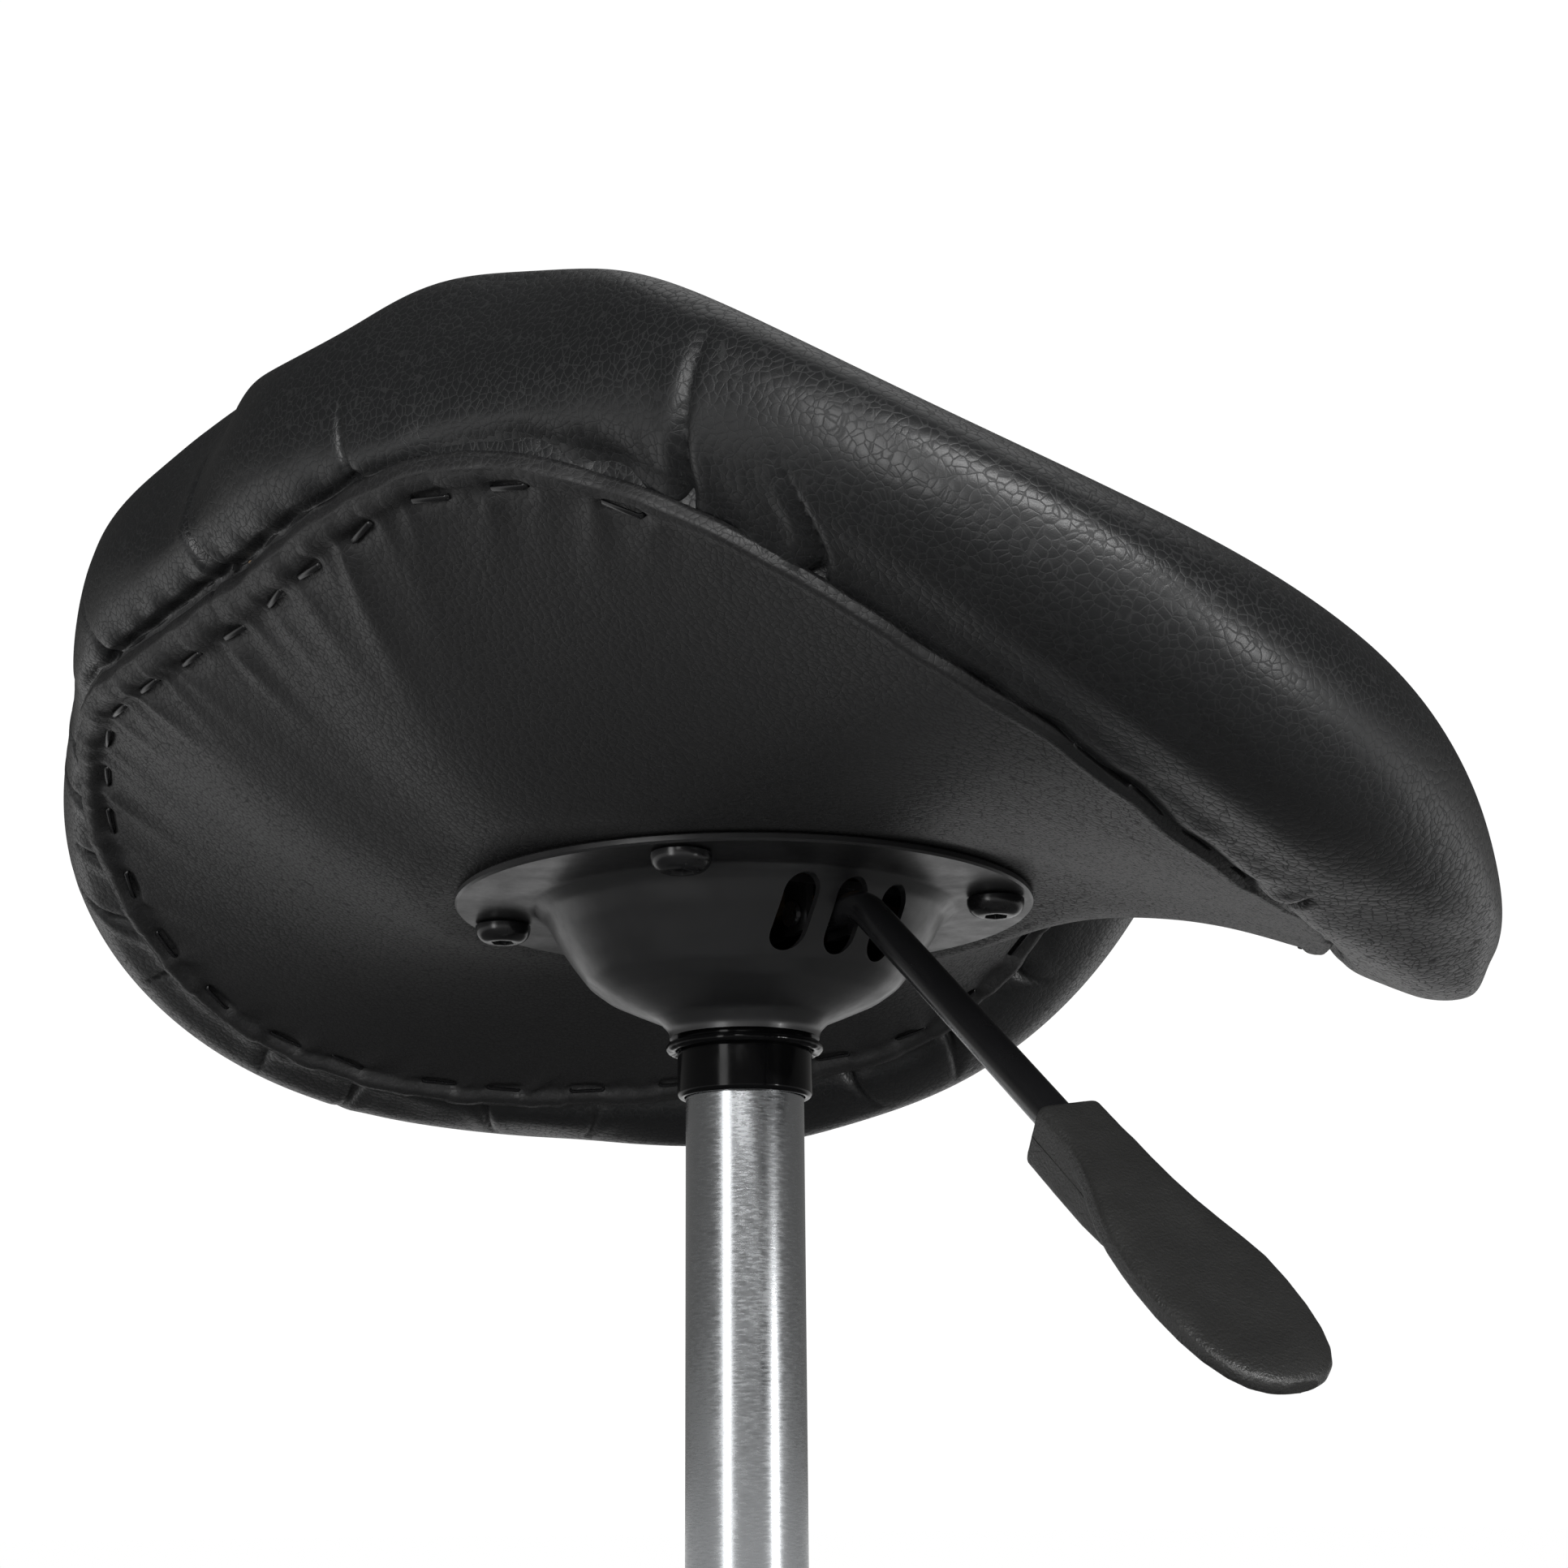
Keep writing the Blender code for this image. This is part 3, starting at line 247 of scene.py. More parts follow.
def make_materials():
    """Every finished material, by the short name the pieces ask for."""
    near_black = (0.0065, 0.0068, 0.0072)
    return {
        "cushion": leather("saddle_leather", near_black, 560.0, 0.58, 0.36),
        "under": leather("underside_vinyl", (0.0095, 0.0095, 0.0098), 640.0, 0.62, 0.46),
        "bell": paint("bell_enamel", (0.010, 0.010, 0.0105), 0.34),
        "collar": paint("collar_enamel", (0.002, 0.002, 0.0022), 0.12, 0.02, 0.10),
        "screw": paint("screw_oxide", (0.006, 0.006, 0.0065), 0.22, 0.03, 0.35),
        "rod": paint("lever_enamel", (0.006, 0.006, 0.0065), 0.20, 0.008),
        "staple": paint("staple_lacquer", (0.004, 0.004, 0.0045), 0.26, 0.02, 0.4),
        "grip": plastic("grip_plastic", (0.017, 0.017, 0.0165), 0.37, 1500.0, 0.75),
        "tube": drawn_steel("tube_steel", (0.35, 0.36, 0.37), 0.22, (0.5, 0.5, 2.4), 0.055),
        "steel": drawn_steel("ground_steel", (0.50, 0.50, 0.51), 0.30, (1.0, 1.0, 1.0)),
        "spring": drawn_steel("clip_steel", (0.28, 0.28, 0.30), 0.36, (1.0, 1.0, 1.0)),
        "zinc": drawn_steel("zinc_plate", (0.62, 0.60, 0.55), 0.34, (1.0, 1.0, 1.0)),
        "brass": drawn_steel("cage_brass", (0.65, 0.48, 0.20), 0.30, (1.0, 1.0, 1.0)),
        "chrome": polished("column_chrome", (0.78, 0.78, 0.79), 0.06),
        "star": polished("star_aluminium", (0.74, 0.75, 0.76), 0.12),
        "hard_chrome": polished("rod_chrome", (0.75, 0.75, 0.76), 0.08),
        "wheel": plastic("wheel_nylon", (0.014, 0.014, 0.0145), 0.40, 1800.0),
        "hood": plastic("hood_nylon", (0.017, 0.017, 0.0175), 0.36, 2200.0),
        "bushing": plastic("bushing_plastic", (0.020, 0.020, 0.021), 0.42, 1500.0),
        "nylon": plastic("piston_nylon", (0.66, 0.64, 0.58), 0.45, 900.0),
        "rubber": plastic("buffer_rubber", (0.022, 0.022, 0.022), 0.68, 700.0, 0.4),
        "wood": plywood("seat_plywood"),
    }


MATS = make_materials()


def dress(node, key):
    """Give a carried-over frame node its finished material."""
    obj = NODES[node]
    for index in range(max(1, len(obj.material_slots))):
        if index < len(obj.material_slots):
            obj.material_slots[index].material = MATS[key]
        else:
            obj.data.materials.append(MATS[key])


def new_piece(name, data, key, body, slot, replaced=()):
    """Link mesh data as a shown piece that rides on a body."""
    obj = bpy.data.objects.new(name, data)
    bpy.context.scene.collection.objects.link(obj)
    data.materials.clear()
    data.materials.append(MATS[key])
    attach(obj, body)
    if replaced:
        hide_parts(*replaced)
    return obj


def mesh_from(name, verts, faces, smooth=True):
    """Mesh data from plain points and faces."""
    data = bpy.data.meshes.new(name)
    data.from_pydata([tuple(map(float, v)) for v in verts], [], faces)
    data.validate()
    data.update()
    if smooth:
        data.shade_smooth()
    return data


def outward(data):
    """Turn the faces of closed mesh data to the outside."""
    bm = bmesh.new()
    bm.from_mesh(data)
    bmesh.ops.recalc_face_normals(bm, faces=bm.faces)
    bm.to_mesh(data)
    bm.free()
    return data


# ================================================================ seat surfaces
def welded(node):
    """Working copy of a frame node's surface with its doubled points joined."""
    bm = bmesh.new()
    bm.from_mesh(NODES[node].data)
    bmesh.ops.remove_doubles(bm, verts=bm.verts, dist=1e-6)
    return bm


def seat_rings():
    """Rings of the frame's cushion from crown to hem and back under, as arrays."""
    bm = welded("seat_cushion")
    crown = min(bm.verts, key=lambda v: math.hypot(v.co.x, v.co.y))
    seen = {crown}
    level = [crown]
    rings = []
    while True:
        following = {e.other_vert(v) for v in level for e in v.link_edges} - seen
        if not following:
            break
        seen |= following
        level = list(following)
        points = np.array([v.co[:] for v in level])
        away = points[:, :2] - np.array(crown.co[:2])
        half_step = math.pi / max(len(points), 1)
        turn = (np.arctan2(away[:, 0], away[:, 1]) + half_step) % (2 * math.pi)
        rings.append(points[np.argsort(turn)])
    crown = np.array(crown.co[:])
    bm.free()
    return crown, np.array(rings)


def around(rings, count, waves=24):
    """Resample every ring to count points by the first waves of its Fourier series."""
    sides = rings.shape[1]
    wave = np.fft.rfft(rings, axis=1)
    angle = np.arange(count) / count * sides
    keep = min(wave.shape[1], waves)
    result = np.repeat(wave[:, :1].real, count, 1) / sides
    for k in range(1, keep):
        phase = 2 * math.pi * k * angle / sides
        real = wave[:, k:k + 1].real * np.cos(phase)[None, :, None]
        imaginary = wave[:, k:k + 1].imag * np.sin(phase)[None, :, None]
        result += 2.0 / sides * (real - imaginary)
    return result


def along(rows, per_gap):
    """Smooth the rows crosswise with a Catmull-Rom spline; per_gap points a gap."""
    padded = np.concatenate([2 * rows[:1] - rows[1:2], rows, 2 * rows[-1:] - rows[-2:-1]])
    result = []
    for i in range(1, len(padded) - 2):
        a, b, c, d = padded[i - 1:i + 3]
        for step in range(per_gap[i - 1]):
            t = step / per_gap[i - 1]
            result.append(0.5 * (2 * b + (c - a) * t + (2 * a - 5 * b + 4 * c - d) * t ** 2
                                 + (3 * b - a - 3 * c + d) * t ** 3))
    result.append(rows[-1])
    return np.array(result)


def grid_normals(grid):
    """Unit normals of a grid that closes on itself around."""
    across = np.gradient(grid, axis=0)
    round_ = np.roll(grid, -1, 1) - np.roll(grid, 1, 1)
    normal = np.cross(round_, across)
    length = np.linalg.norm(normal, axis=2, keepdims=True)
    return normal / np.maximum(length, 1e-12)


def grid_faces(rows, sides, closed=False):
    """Faces of a grid that closes on itself around, and along it too if closed."""
    faces = []
    for r in range(rows if closed else rows - 1):
        ahead = (r + 1) % rows
        for i in range(sides):
            j = (i + 1) % sides
            faces.append((r * sides + i, r * sides + j, ahead * sides + j, ahead * sides + i))
    return faces


def capped_faces(rows, sides):
    """Faces of a grid with a flat face at each end."""
    last = (rows - 1) * sides
    return grid_faces(rows, sides) + [tuple(range(sides)), tuple(range(last, last + sides))]


CROWN, RINGS = seat_rings()
RIM_TOP = 3                  # ring at the top of the rim
HEM = 11                     # ring on the hem line
SIDES = 1440                 # points round the finished seat
FORM_SIDES = 208             # points round the soft form of the cloth step
SWELL_CAP = 0.004            # most that the cloth step may move a point
CLOTH_FRAMES = 20            # length of the cloth step


def smooth_noise(values, scale, seed):
    """Repeatable 1-D noise over an array of values."""
    return np.array([noise.noise(Vector((float(v) * scale, seed, 0.37))) for v in values])


def hem_frame():
    """Hem line, arc length along it and its total."""
    hem = around(RINGS[HEM:HEM + 1], SIDES)[0]
    step = np.linalg.norm(np.roll(hem, -1, 0) - hem, axis=1)
    length = np.concatenate([[0.0], np.cumsum(step)])
    return hem, length[:-1], length[-1]


HEM_LINE, HEM_LENGTH, HEM_TOTAL = hem_frame()
AWAY = HEM_LINE[:, :2] - CROWN[:2]
AWAY_UNIT = AWAY / np.linalg.norm(AWAY, axis=1, keepdims=True)
HEM_TURN = np.arctan2(AWAY[:, 0], AWAY[:, 1])


def ring_distance(a, b):
    """Signed distance along the hem from b to a, the short way round."""
    gap = (a - b) % HEM_TOTAL
    return np.where(gap > HEM_TOTAL / 2, gap - HEM_TOTAL, gap)


# Tucks in the rim leather: place round the hem in degrees from the back towards +X,
# reach up the rim, half width, depth and lean, the last four in metres.
TUCKS = ((-5.8, 0.040, 0.0024, 0.0036, 0.016), (-55.3, 0.044, 0.0022, 0.0026, -0.012),
         (-62.3, 0.024, 0.0022, 0.0028, 0.008), (-99.3, 0.014, 0.0034, 0.0040, 0.012),
         (-118.0, 0.012, 0.0036, 0.0036, 0.010), (-130.3, 0.015, 0.0044, 0.0046, 0.010),
         (-30.0, 0.020, 0.0030, 0.0014, 0.0), (20.0, 0.018, 0.0030, 0.0016, 0.004),
         (44.0, 0.020, 0.0028, 0.0030, -0.004), (49.5, 0.026, 0.0028, 0.0030, 0.004),
         (55.0, 0.020, 0.0026, 0.0026, 0.003), (61.0, 0.030, 0.0030, 0.0036, -0.004),
         (65.5, 0.022, 0.0026, 0.0026, 0.004), (75.0, 0.026, 0.0034, 0.0026, 0.004),
         (83.0, 0.034, 0.0030, 0.0036, -0.003), (94.5, 0.028, 0.0028, 0.0030, 0.003),
         (106.0, 0.020, 0.0030, 0.0020, -0.004), (135.0, 0.022, 0.0034, 0.0030, 0.006),
         (147.5, 0.026, 0.0036, 0.0032, -0.006), (156.0, 0.018, 0.0034, 0.0028, 0.004),
         (178.0, 0.016, 0.0044, 0.0020, 0.0), (-160.0, 0.018, 0.0040, 0.0024, 0.004))


def hem_place(degrees):
    """Arc length on the hem at a polar angle from the back towards +X."""
    target = math.radians(degrees)
    gap = np.abs((HEM_TURN - target + math.pi) % (2 * math.pi) - math.pi)
    return HEM_LENGTH[int(np.argmin(gap))]


def tuck_depth(length, up):
    """Depth of the leather's tucks at arc length along and distance up from the hem."""
    total = np.zeros_like(length)
    for degrees, reach, width, depth, lean in TUCKS:
        centre = hem_place(degrees)
        fade = np.clip(1.0 - up / reach, 0.0, 1.0)
        middle = centre + lean * (up / reach) ** 1.5
        side = ring_distance(length, middle)
        side /= np.maximum(width * (0.30 + 0.70 * fade), 0.0016)
        sharp = np.exp(-np.abs(side * 1.7) ** 1.2 * 1.5)
        swell_a = 0.26 * np.exp(-((side - 2.0) / 1.5) ** 2)
        swell_b = 0.12 * np.exp(-((side + 1.6) / 1.3) ** 2)
        total += depth * (sharp - swell_a - swell_b) * fade ** 0.8
    return total


def gather(length, up, reach, pitch, seed):
    """Small puckers that start at the hem and die out up the rim."""
    fade = np.clip(1.0 - up / reach, 0.0, 1.0) ** 1.6
    return smooth_noise(length.ravel(), 1.0 / pitch, seed).reshape(length.shape) * fade


def hem_wave(length):
    """In and out wander of the hand-stapled hem, in metres, along its length."""
    return 0.0016 * smooth_noise(length, 38.0, 2.3) + 0.0009 * smooth_noise(length, 95.0, 6.1)


def inflate(data, pinned, cap):
    """Cloth pressure on a closed soft form, with the move of each point capped."""
    obj = bpy.data.objects.new("soft_form", data)
    bpy.context.scene.collection.objects.link(obj)
    group = obj.vertex_groups.new(name="pin")
    group.add([int(i) for i in pinned], 1.0, "REPLACE")
    rest = np.empty(len(data.vertices) * 3)
    data.vertices.foreach_get("co", rest)
    cloth = obj.modifiers.new("cloth", "CLOTH")
    cloth.settings.vertex_group_mass = "pin"
    cloth.settings.use_pressure = True
    cloth.settings.uniform_pressure_force = 4.0
    cloth.settings.tension_stiffness = 12.0
    cloth.settings.compression_stiffness = 12.0
    cloth.settings.bending_stiffness = 3.0
    cloth.settings.effector_weights.gravity = 0.0
    cloth.point_cache.frame_start = 1
    cloth.point_cache.frame_end = CLOTH_FRAMES
    scene = bpy.context.scene
    for tick in range(1, CLOTH_FRAMES + 1):
        scene.frame_set(tick)
    shape = obj.evaluated_get(bpy.context.evaluated_depsgraph_get()).to_mesh()
    moved = np.empty(len(shape.vertices) * 3)
    shape.vertices.foreach_get("co", moved)
    obj.evaluated_get(bpy.context.evaluated_depsgraph_get()).to_mesh_clear()
    bpy.data.objects.remove(obj, do_unlink=True)
    scene.frame_set(1)
    shift = (moved - rest).reshape(-1, 3)
    size = np.linalg.norm(shift, axis=1, keepdims=True)
    return shift * np.minimum(1.0, cap / np.maximum(size, 1e-9))


def swell(rings):
    """Swelling of the soft form per ring point, by cloth pressure."""
    sides = rings.shape[1]
    verts = np.concatenate([rings.reshape(-1, 3), CROWN[None]])
    faces = grid_faces(len(rings), sides)
    top = len(verts) - 1
    faces += [(top, (i + 1) % sides, i) for i in range(sides)]
    faces.append(tuple(range((len(rings) - 1) * sides, len(rings) * sides)))
    data = outward(mesh_from("soft_form", verts, faces))
    pinned = np.arange(HEM * sides, len(rings) * sides)
    return inflate(data, pinned, SWELL_CAP)[:-1].reshape(rings.shape)


def ease_crown(grid, rows):
    """Lay the middle of the sitting surface on one smooth sheet; height at the crown."""
    flat = (grid[:rows, :, :2] - CROWN[:2]) / 0.1
    radius = np.hypot(flat[..., 0], flat[..., 1])
    powers = [(i, j) for i in range(5) for j in range(5 - i)]
    terms = np.stack([flat[..., 0] ** i * flat[..., 1] ** j for i, j in powers], -1)
    near = radius < 1.2
    share = radius[near]
    height = grid[:rows, :, 2]
    fit = np.linalg.lstsq(terms[near] * share[:, None], height[near] * share, rcond=None)[0]
    blend = np.clip((1.15 - radius) / 0.75, 0.0, 1.0)
    blend = blend * blend * (3.0 - 2.0 * blend)
    grid[:rows, :, 2] += blend * (terms @ fit - height)
    return fit[0]


def build_cushion():
    """Leather over foam: swollen form, eased crown, tucks and a wandering hem."""
    rings = RINGS
    sides = RINGS.shape[1]
    rings = RINGS + around(swell(around(RINGS, FORM_SIDES)), sides, min(20, sides // 2))
    base = around(rings, SIDES)
    gaps = [8, 8, 8, 12, 12, 12, 12, 12, 12, 12, 10, 6] + [2] * (len(RINGS) - 13)
    grid = along(base, gaps)
    inner = np.array([0.02, 0.12, 0.25, 0.40, 0.55, 0.70, 0.85])[:, None, None]
    grid = np.concatenate([CROWN + (grid[:1] - CROWN) * inner, grid])
    hem_row = len(inner) + sum(gaps[:HEM])
    top_row = len(inner) + sum(gaps[:RIM_TOP])
    middle = [CROWN[0], CROWN[1], ease_crown(grid, top_row)]
    up = np.zeros(grid.shape[:2])
    step = np.linalg.norm(np.diff(grid, axis=0), axis=2)
    for row in range(hem_row - 1, -1, -1):
        up[row] = up[row + 1] + step[row]
    length = np.repeat(HEM_LENGTH[None], len(grid), 0)
    normal = grid_normals(grid)
    centre = grid.mean((0, 1))
    if np.mean(np.sum(normal[top_row] * (grid[top_row] - centre), 1)) < 0:
        normal = -normal
    sink = tuck_depth(length, up)
    sink -= 0.0011 * gather(length, up, 0.018, 0.010, 3.1)
    sink -= 0.0007 * gather(length, up, 0.050, 0.034, 8.7)
    sink += 0.0016 * np.exp(-(up / 0.0035) ** 2)
    sink[hem_row + 1:] = 0.0
    grid = grid - normal * sink[..., None]
    wander = hem_wave(HEM_LENGTH)[None] * np.exp(-(up / 0.009) ** 2)
    grid[..., :2] -= AWAY_UNIT[None] * wander[..., None]
    verts = np.concatenate([grid.reshape(-1, 3), [middle]])
    faces = grid_faces(len(grid), SIDES)
    faces += [(len(verts) - 1, (i + 1) % SIDES, i) for i in range(SIDES)]
    faces.append(tuple(range((len(grid) - 1) * SIDES, len(grid) * SIDES)))
    data = outward(mesh_from("saddle_cushion", verts, faces))
    piece = new_piece("saddle_cushion", data, "cushion", "seat", "black_leatherette",
                      ["seat_cushion"])


# ================================================================ underside
STAPLE_PITCH = 0.0240
STAPLE_INSET = 0.0078        # staples' distance from the hem
BAND = 0.0067                # width of the folded band inside the hem
NARROWING = 0.52             # share of the band's width lost along the near side
COVERED = 0.56               # band so narrow that the fold covers the staples
UNDER_START = 0.0630         # radius where the sheet ends, hidden by the flange
STAND_OFF = 0.0014           # the vinyl hangs this far below the board's cover
FINE_REACH = 0.050           # finely divided strip along the hem
FINE_STEPS = np.concatenate([np.linspace(0.0, 0.0145, 44), np.linspace(0.0150, FINE_REACH, 56)])


def band_share():
    """Width of the folded band round the hem, as a share of its full width."""
    degrees = np.degrees(HEM_TURN)
    return 1.0 - NARROWING * np.exp(-((degrees + 95.0) / 62.0) ** 4)


SHARE = band_share()
PROUD = 0.12 + 0.88 * (SHARE - 1.0 + NARROWING) / NARROWING     # how far the band stands out


def staple_places():
    """Arc lengths of the staples along the hem, none where the fold covers them."""
    count = int(HEM_TOTAL / STAPLE_PITCH)
    places = np.arange(count) * HEM_TOTAL / count
    places = places + 0.0070 * smooth_noise(places, 90.0, 5.5)
    gaps = np.abs(ring_distance(HEM_LENGTH[None], places[:, None]))
    return places[SHARE[np.argmin(gaps, axis=1)] > COVERED]


def under_shape():
    """Flat ring, rise of the hem, power of the curve and width of the underside."""
    flat = around(RINGS[16:17], SIDES)[0]
    mid = around(RINGS[14:15], SIDES)[0]
    rise = HEM_LINE[:, 2] - FLANGE_Z
    steep = int(np.argmax(np.abs(rise)))
    share = (mid[steep, 2] - flat[:, 2].mean()) / rise[steep]
    power = math.log(abs(share)) / math.log(0.62)
    width = np.linalg.norm(HEM_LINE[:, :2] - flat[:, :2], axis=1)
    return flat, rise, power, width


FLAT, RISE, POWER, WIDTH = under_shape()


def under_at(inward):
    """Underside points at an inward distance from the hem in each direction."""
    reach = 1.0 - inward / WIDTH
    xy = FLAT[:, :2] + (HEM_LINE[:, :2] - FLAT[:, :2]) * reach[:, None]
    z = FLANGE_Z + 0.0003 + RISE * np.maximum(reach, 0.0) ** POWER
    return np.concatenate([xy, z[:, None]], 1)


def under_relief(length, inward, places):
    """Height towards the floor: folded edge, pinches at the staples and gathers."""
    inward = inward + np.minimum(inward, STAPLE_INSET * SHARE) * (1.0 / SHARE - 1.0)
    edge = 0.0010 * smooth_noise(length[0], 60.0, 1.7)
    depth = inward + edge[None] * np.clip(inward / 0.004, 0.0, 1.0)
    rise = 1.0 - np.exp(-(depth / 0.0014) ** 1.5)
    fall = 1.0 / (1.0 + np.exp((depth - BAND) / 0.0006))
    height = -0.0012 + (0.0012 + STAND_OFF * (0.5 + 0.5 * PROUD)) * rise
    pressed = np.zeros_like(depth)
    gathers = np.zeros_like(depth)
    pinch = np.zeros_like(depth)
    beyond = np.maximum(inward - STAPLE_INSET, 0.0)
    start = 1.0 / (1.0 + np.exp(-(inward - STAPLE_INSET + 0.0006) / 0.0010))
    for index, place in enumerate(places):
        side = ring_distance(length, place)
        off = np.maximum(np.abs(side) - 0.0038, 0.0)
        near = np.exp(-(off / 0.0022) ** 2)
        pinch += near * np.exp(-((inward - STAPLE_INSET) / 0.0020) ** 2)
        pressed += near
        for way, pull in ((0.26, 1.0), (-0.40, 0.4)):
            turn = index * 2.4 + way * 9.0
            half = side - STAPLE_PITCH * way - 0.0016 * math.sin(turn * 1.9)
            force = pull * (0.65 + 0.35 * math.sin(turn))
            reach = 0.009 + 0.009 * math.sin(turn * 1.7) ** 2
            lean = (0.15 + 0.30 * math.sin(turn * 2.3)) * beyond
            spread = 0.0024 + 0.24 * beyond
            fade = np.exp(-(beyond / reach) ** 1.4)
            gathers += force * fade * np.exp(-((half - lean) / spread) ** 2)
    puff = np.clip(1.0 - pressed, 0.0, 1.0)
    height += 0.0008 * np.exp(-((depth - 0.0016) / 0.0006) ** 2) * (0.4 + 0.6 * PROUD)
    nicks = np.abs(smooth_noise(length[0], 120.0, 9.2))[None] * puff
    height += rise * fall * (0.0023 + 0.0010 * puff - 0.0009 * nicks) * PROUD
    height += 0.0017 * start * np.minimum(gathers, 1.3) * (0.3 + 0.7 * PROUD)
    height -= 0.0012 * np.minimum(pinch, 1.0)
    return np.where(inward > 0.004, np.maximum(height, 0.0003), height)


def build_underside():
    """Vinyl sheet with its folded edge stapled to the board."""
    inward = np.repeat(FINE_STEPS[:, None], SIDES, 1)
    toward = np.linalg.norm(HEM_LINE[:, :2], axis=1) - UNDER_START
    rest = [FINE_REACH + (toward - FINE_REACH) * k / 30 for k in range(1, 31)]
    inward = np.concatenate([inward, np.array(rest)])
    grid = np.array([under_at(row) for row in inward])
    radius = np.hypot(grid[..., 0], grid[..., 1])
    length = np.repeat(HEM_LENGTH[None], len(grid), 0)
    places = staple_places()
    normal = grid_normals(grid)
    if normal[..., 2].mean() > 0:
        normal = -normal
    open_part = np.clip((radius - 0.0700) / 0.010, 0.0, 1.0)
    height = under_relief(length, inward, places) + 0.0010 * field_noise(grid, 20.0, 6.0)
    lower = grid + normal * (height * open_part)[..., None]
    wander = hem_wave(HEM_LENGTH)[None] * np.exp(-(inward / 0.012) ** 2)
    lower[..., :2] -= AWAY_UNIT[None] * wander[..., None]
    upper = grid - normal * 0.0004
    upper[..., :2] -= AWAY_UNIT[None] * (wander + 0.0006)[..., None]
    close_sheet(lower, upper)
    build_staples(places, lower)


def field_noise(grid, scale, seed):
    """Smooth noise over the points of a grid."""
    flat = grid.reshape(-1, 3) * scale
    values = [noise.noise(Vector((p[0], p[1], p[2] + seed))) for p in flat]
    return np.array(values).reshape(grid.shape[:-1])


def close_sheet(lower, upper):
    """Skin both sides of the vinyl and join them along both edges."""
    rows = len(lower)
    verts = np.concatenate([lower.reshape(-1, 3), upper[::-1].reshape(-1, 3)])
    faces = grid_faces(2 * rows, SIDES, True)
    data = outward(mesh_from("stapled_underside", verts, faces))
    new_piece("stapled_underside", data, "under", "seat", "underside_vinyl",
              ["underside_cover"])


def staple_points(centre, run, across, down):
    """Points of a staple: crown along run with rounded shoulders and two short legs."""
    half, wide, thick, leg = 0.0048, 0.00060, 0.00034, 0.0024
    path = [(-half, -leg), (-half, -0.0006), (-half + 0.0002, -0.0002), (-half + 0.0006, 0.0),
            (half - 0.0006, 0.0), (half - 0.0002, -0.0002), (half, -0.0006), (half, -leg)]
    points = []
    for k, (u, w) in enumerate(path):
        before = path[max(k - 1, 0)]
        after = path[min(k + 1, len(path) - 1)]
        direction = Vector((after[0] - before[0], after[1] - before[1])).normalized()
        normal = run * -direction.y + down * direction.x
        middle = centre + run * u + down * w
        for sx, sy in ((-1, -0.5), (-0.6, -1), (0.6, -1), (1, -0.5), (1, 0.5), (0.6, 1),
                       (-0.6, 1), (-1, 0.5)):
            points.append(middle + across * wide * sx + normal * thick * sy)
    return points


def build_staples(places, sheet):
    """Bent flat wires pressed into the vinyl round the hem."""
    verts, faces = [], []
    for index, place in enumerate(places):
        near = int(np.argmin(np.abs(ring_distance(HEM_LENGTH, place))))
        inset = STAPLE_INSET * SHARE[near] + 0.0005 * math.sin(index * 5.3)
        row = int(np.argmin(np.abs(FINE_STEPS - inset)))
        ends = [Vector(sheet[row, (near + k) % SIDES]) for k in (-4, 4)]
        centre = (ends[0] + ends[1] + Vector(sheet[row, near])) / 3
        run = (ends[1] - ends[0]).normalized()
        inside = Vector(under_at(np.full(SIDES, inset + 0.001))[near]) - Vector(
            under_at(np.full(SIDES, inset))[near])
        down = run.cross(inside.normalized()).normalized()
        if down.z > 0:
            down = -down
        inside = down.cross(run).normalized()
        run = (run + inside * 0.10 * math.sin(index * 3.3)).normalized()
        across = down.cross(run).normalized()
        first = len(verts)
        verts += staple_points(centre + down * 0.0010, run, across, down)
        faces += [tuple(first + k for k in face) for face in capped_faces(8, 8)]
    data = outward(mesh_from("hem_staples", verts, faces))
    data.set_sharp_from_angle(angle=math.radians(50))
    new_piece("hem_staples", data, "staple", "seat", "black_screw")


# ================================================================ turned pieces
def outer_radius(tree, height, turn):
    """Outer radius of a frame node at a height, looking in from one side."""
    away = Vector((math.cos(turn), math.sin(turn), 0.0)) * 0.3
    hit = tree.ray_cast(Vector((away.x, away.y, height)), -away.normalized())[0]
    return math.hypot(hit.x, hit.y) if hit else None


def node_tree(node):
    """Search tree over a frame node's surface."""
    graph = bpy.context.evaluated_depsgraph_get()
    return BVHTree.FromObject(NODES[node], graph)


def revolve(name, profile, sides=144):
    """Closed turned mesh from an outline of (radius, z) that closes on itself."""
    verts = []
    for r, z in profile:
        for i in range(sides):
            a = 2 * math.pi * i / sides
            verts.append((r * math.cos(a), r * math.sin(a), z))
    data = outward(mesh_from(name, verts, grid_faces(len(profile), sides, True)))
    data.set_sharp_from_angle(angle=math.radians(40))
    return data


def baked(obj):
    """New mesh data of an object with its modifiers applied."""
    graph = bpy.context.evaluated_depsgraph_get()
    graph.update()
    return bpy.data.meshes.new_from_object(obj.evaluated_get(graph))


def combine(obj, operation, other):
    """Exact boolean of an object with another one."""
    modifier = obj.modifiers.new("combine", "BOOLEAN")
    modifier.operation = operation
    modifier.solver = "EXACT"
    modifier.object = other


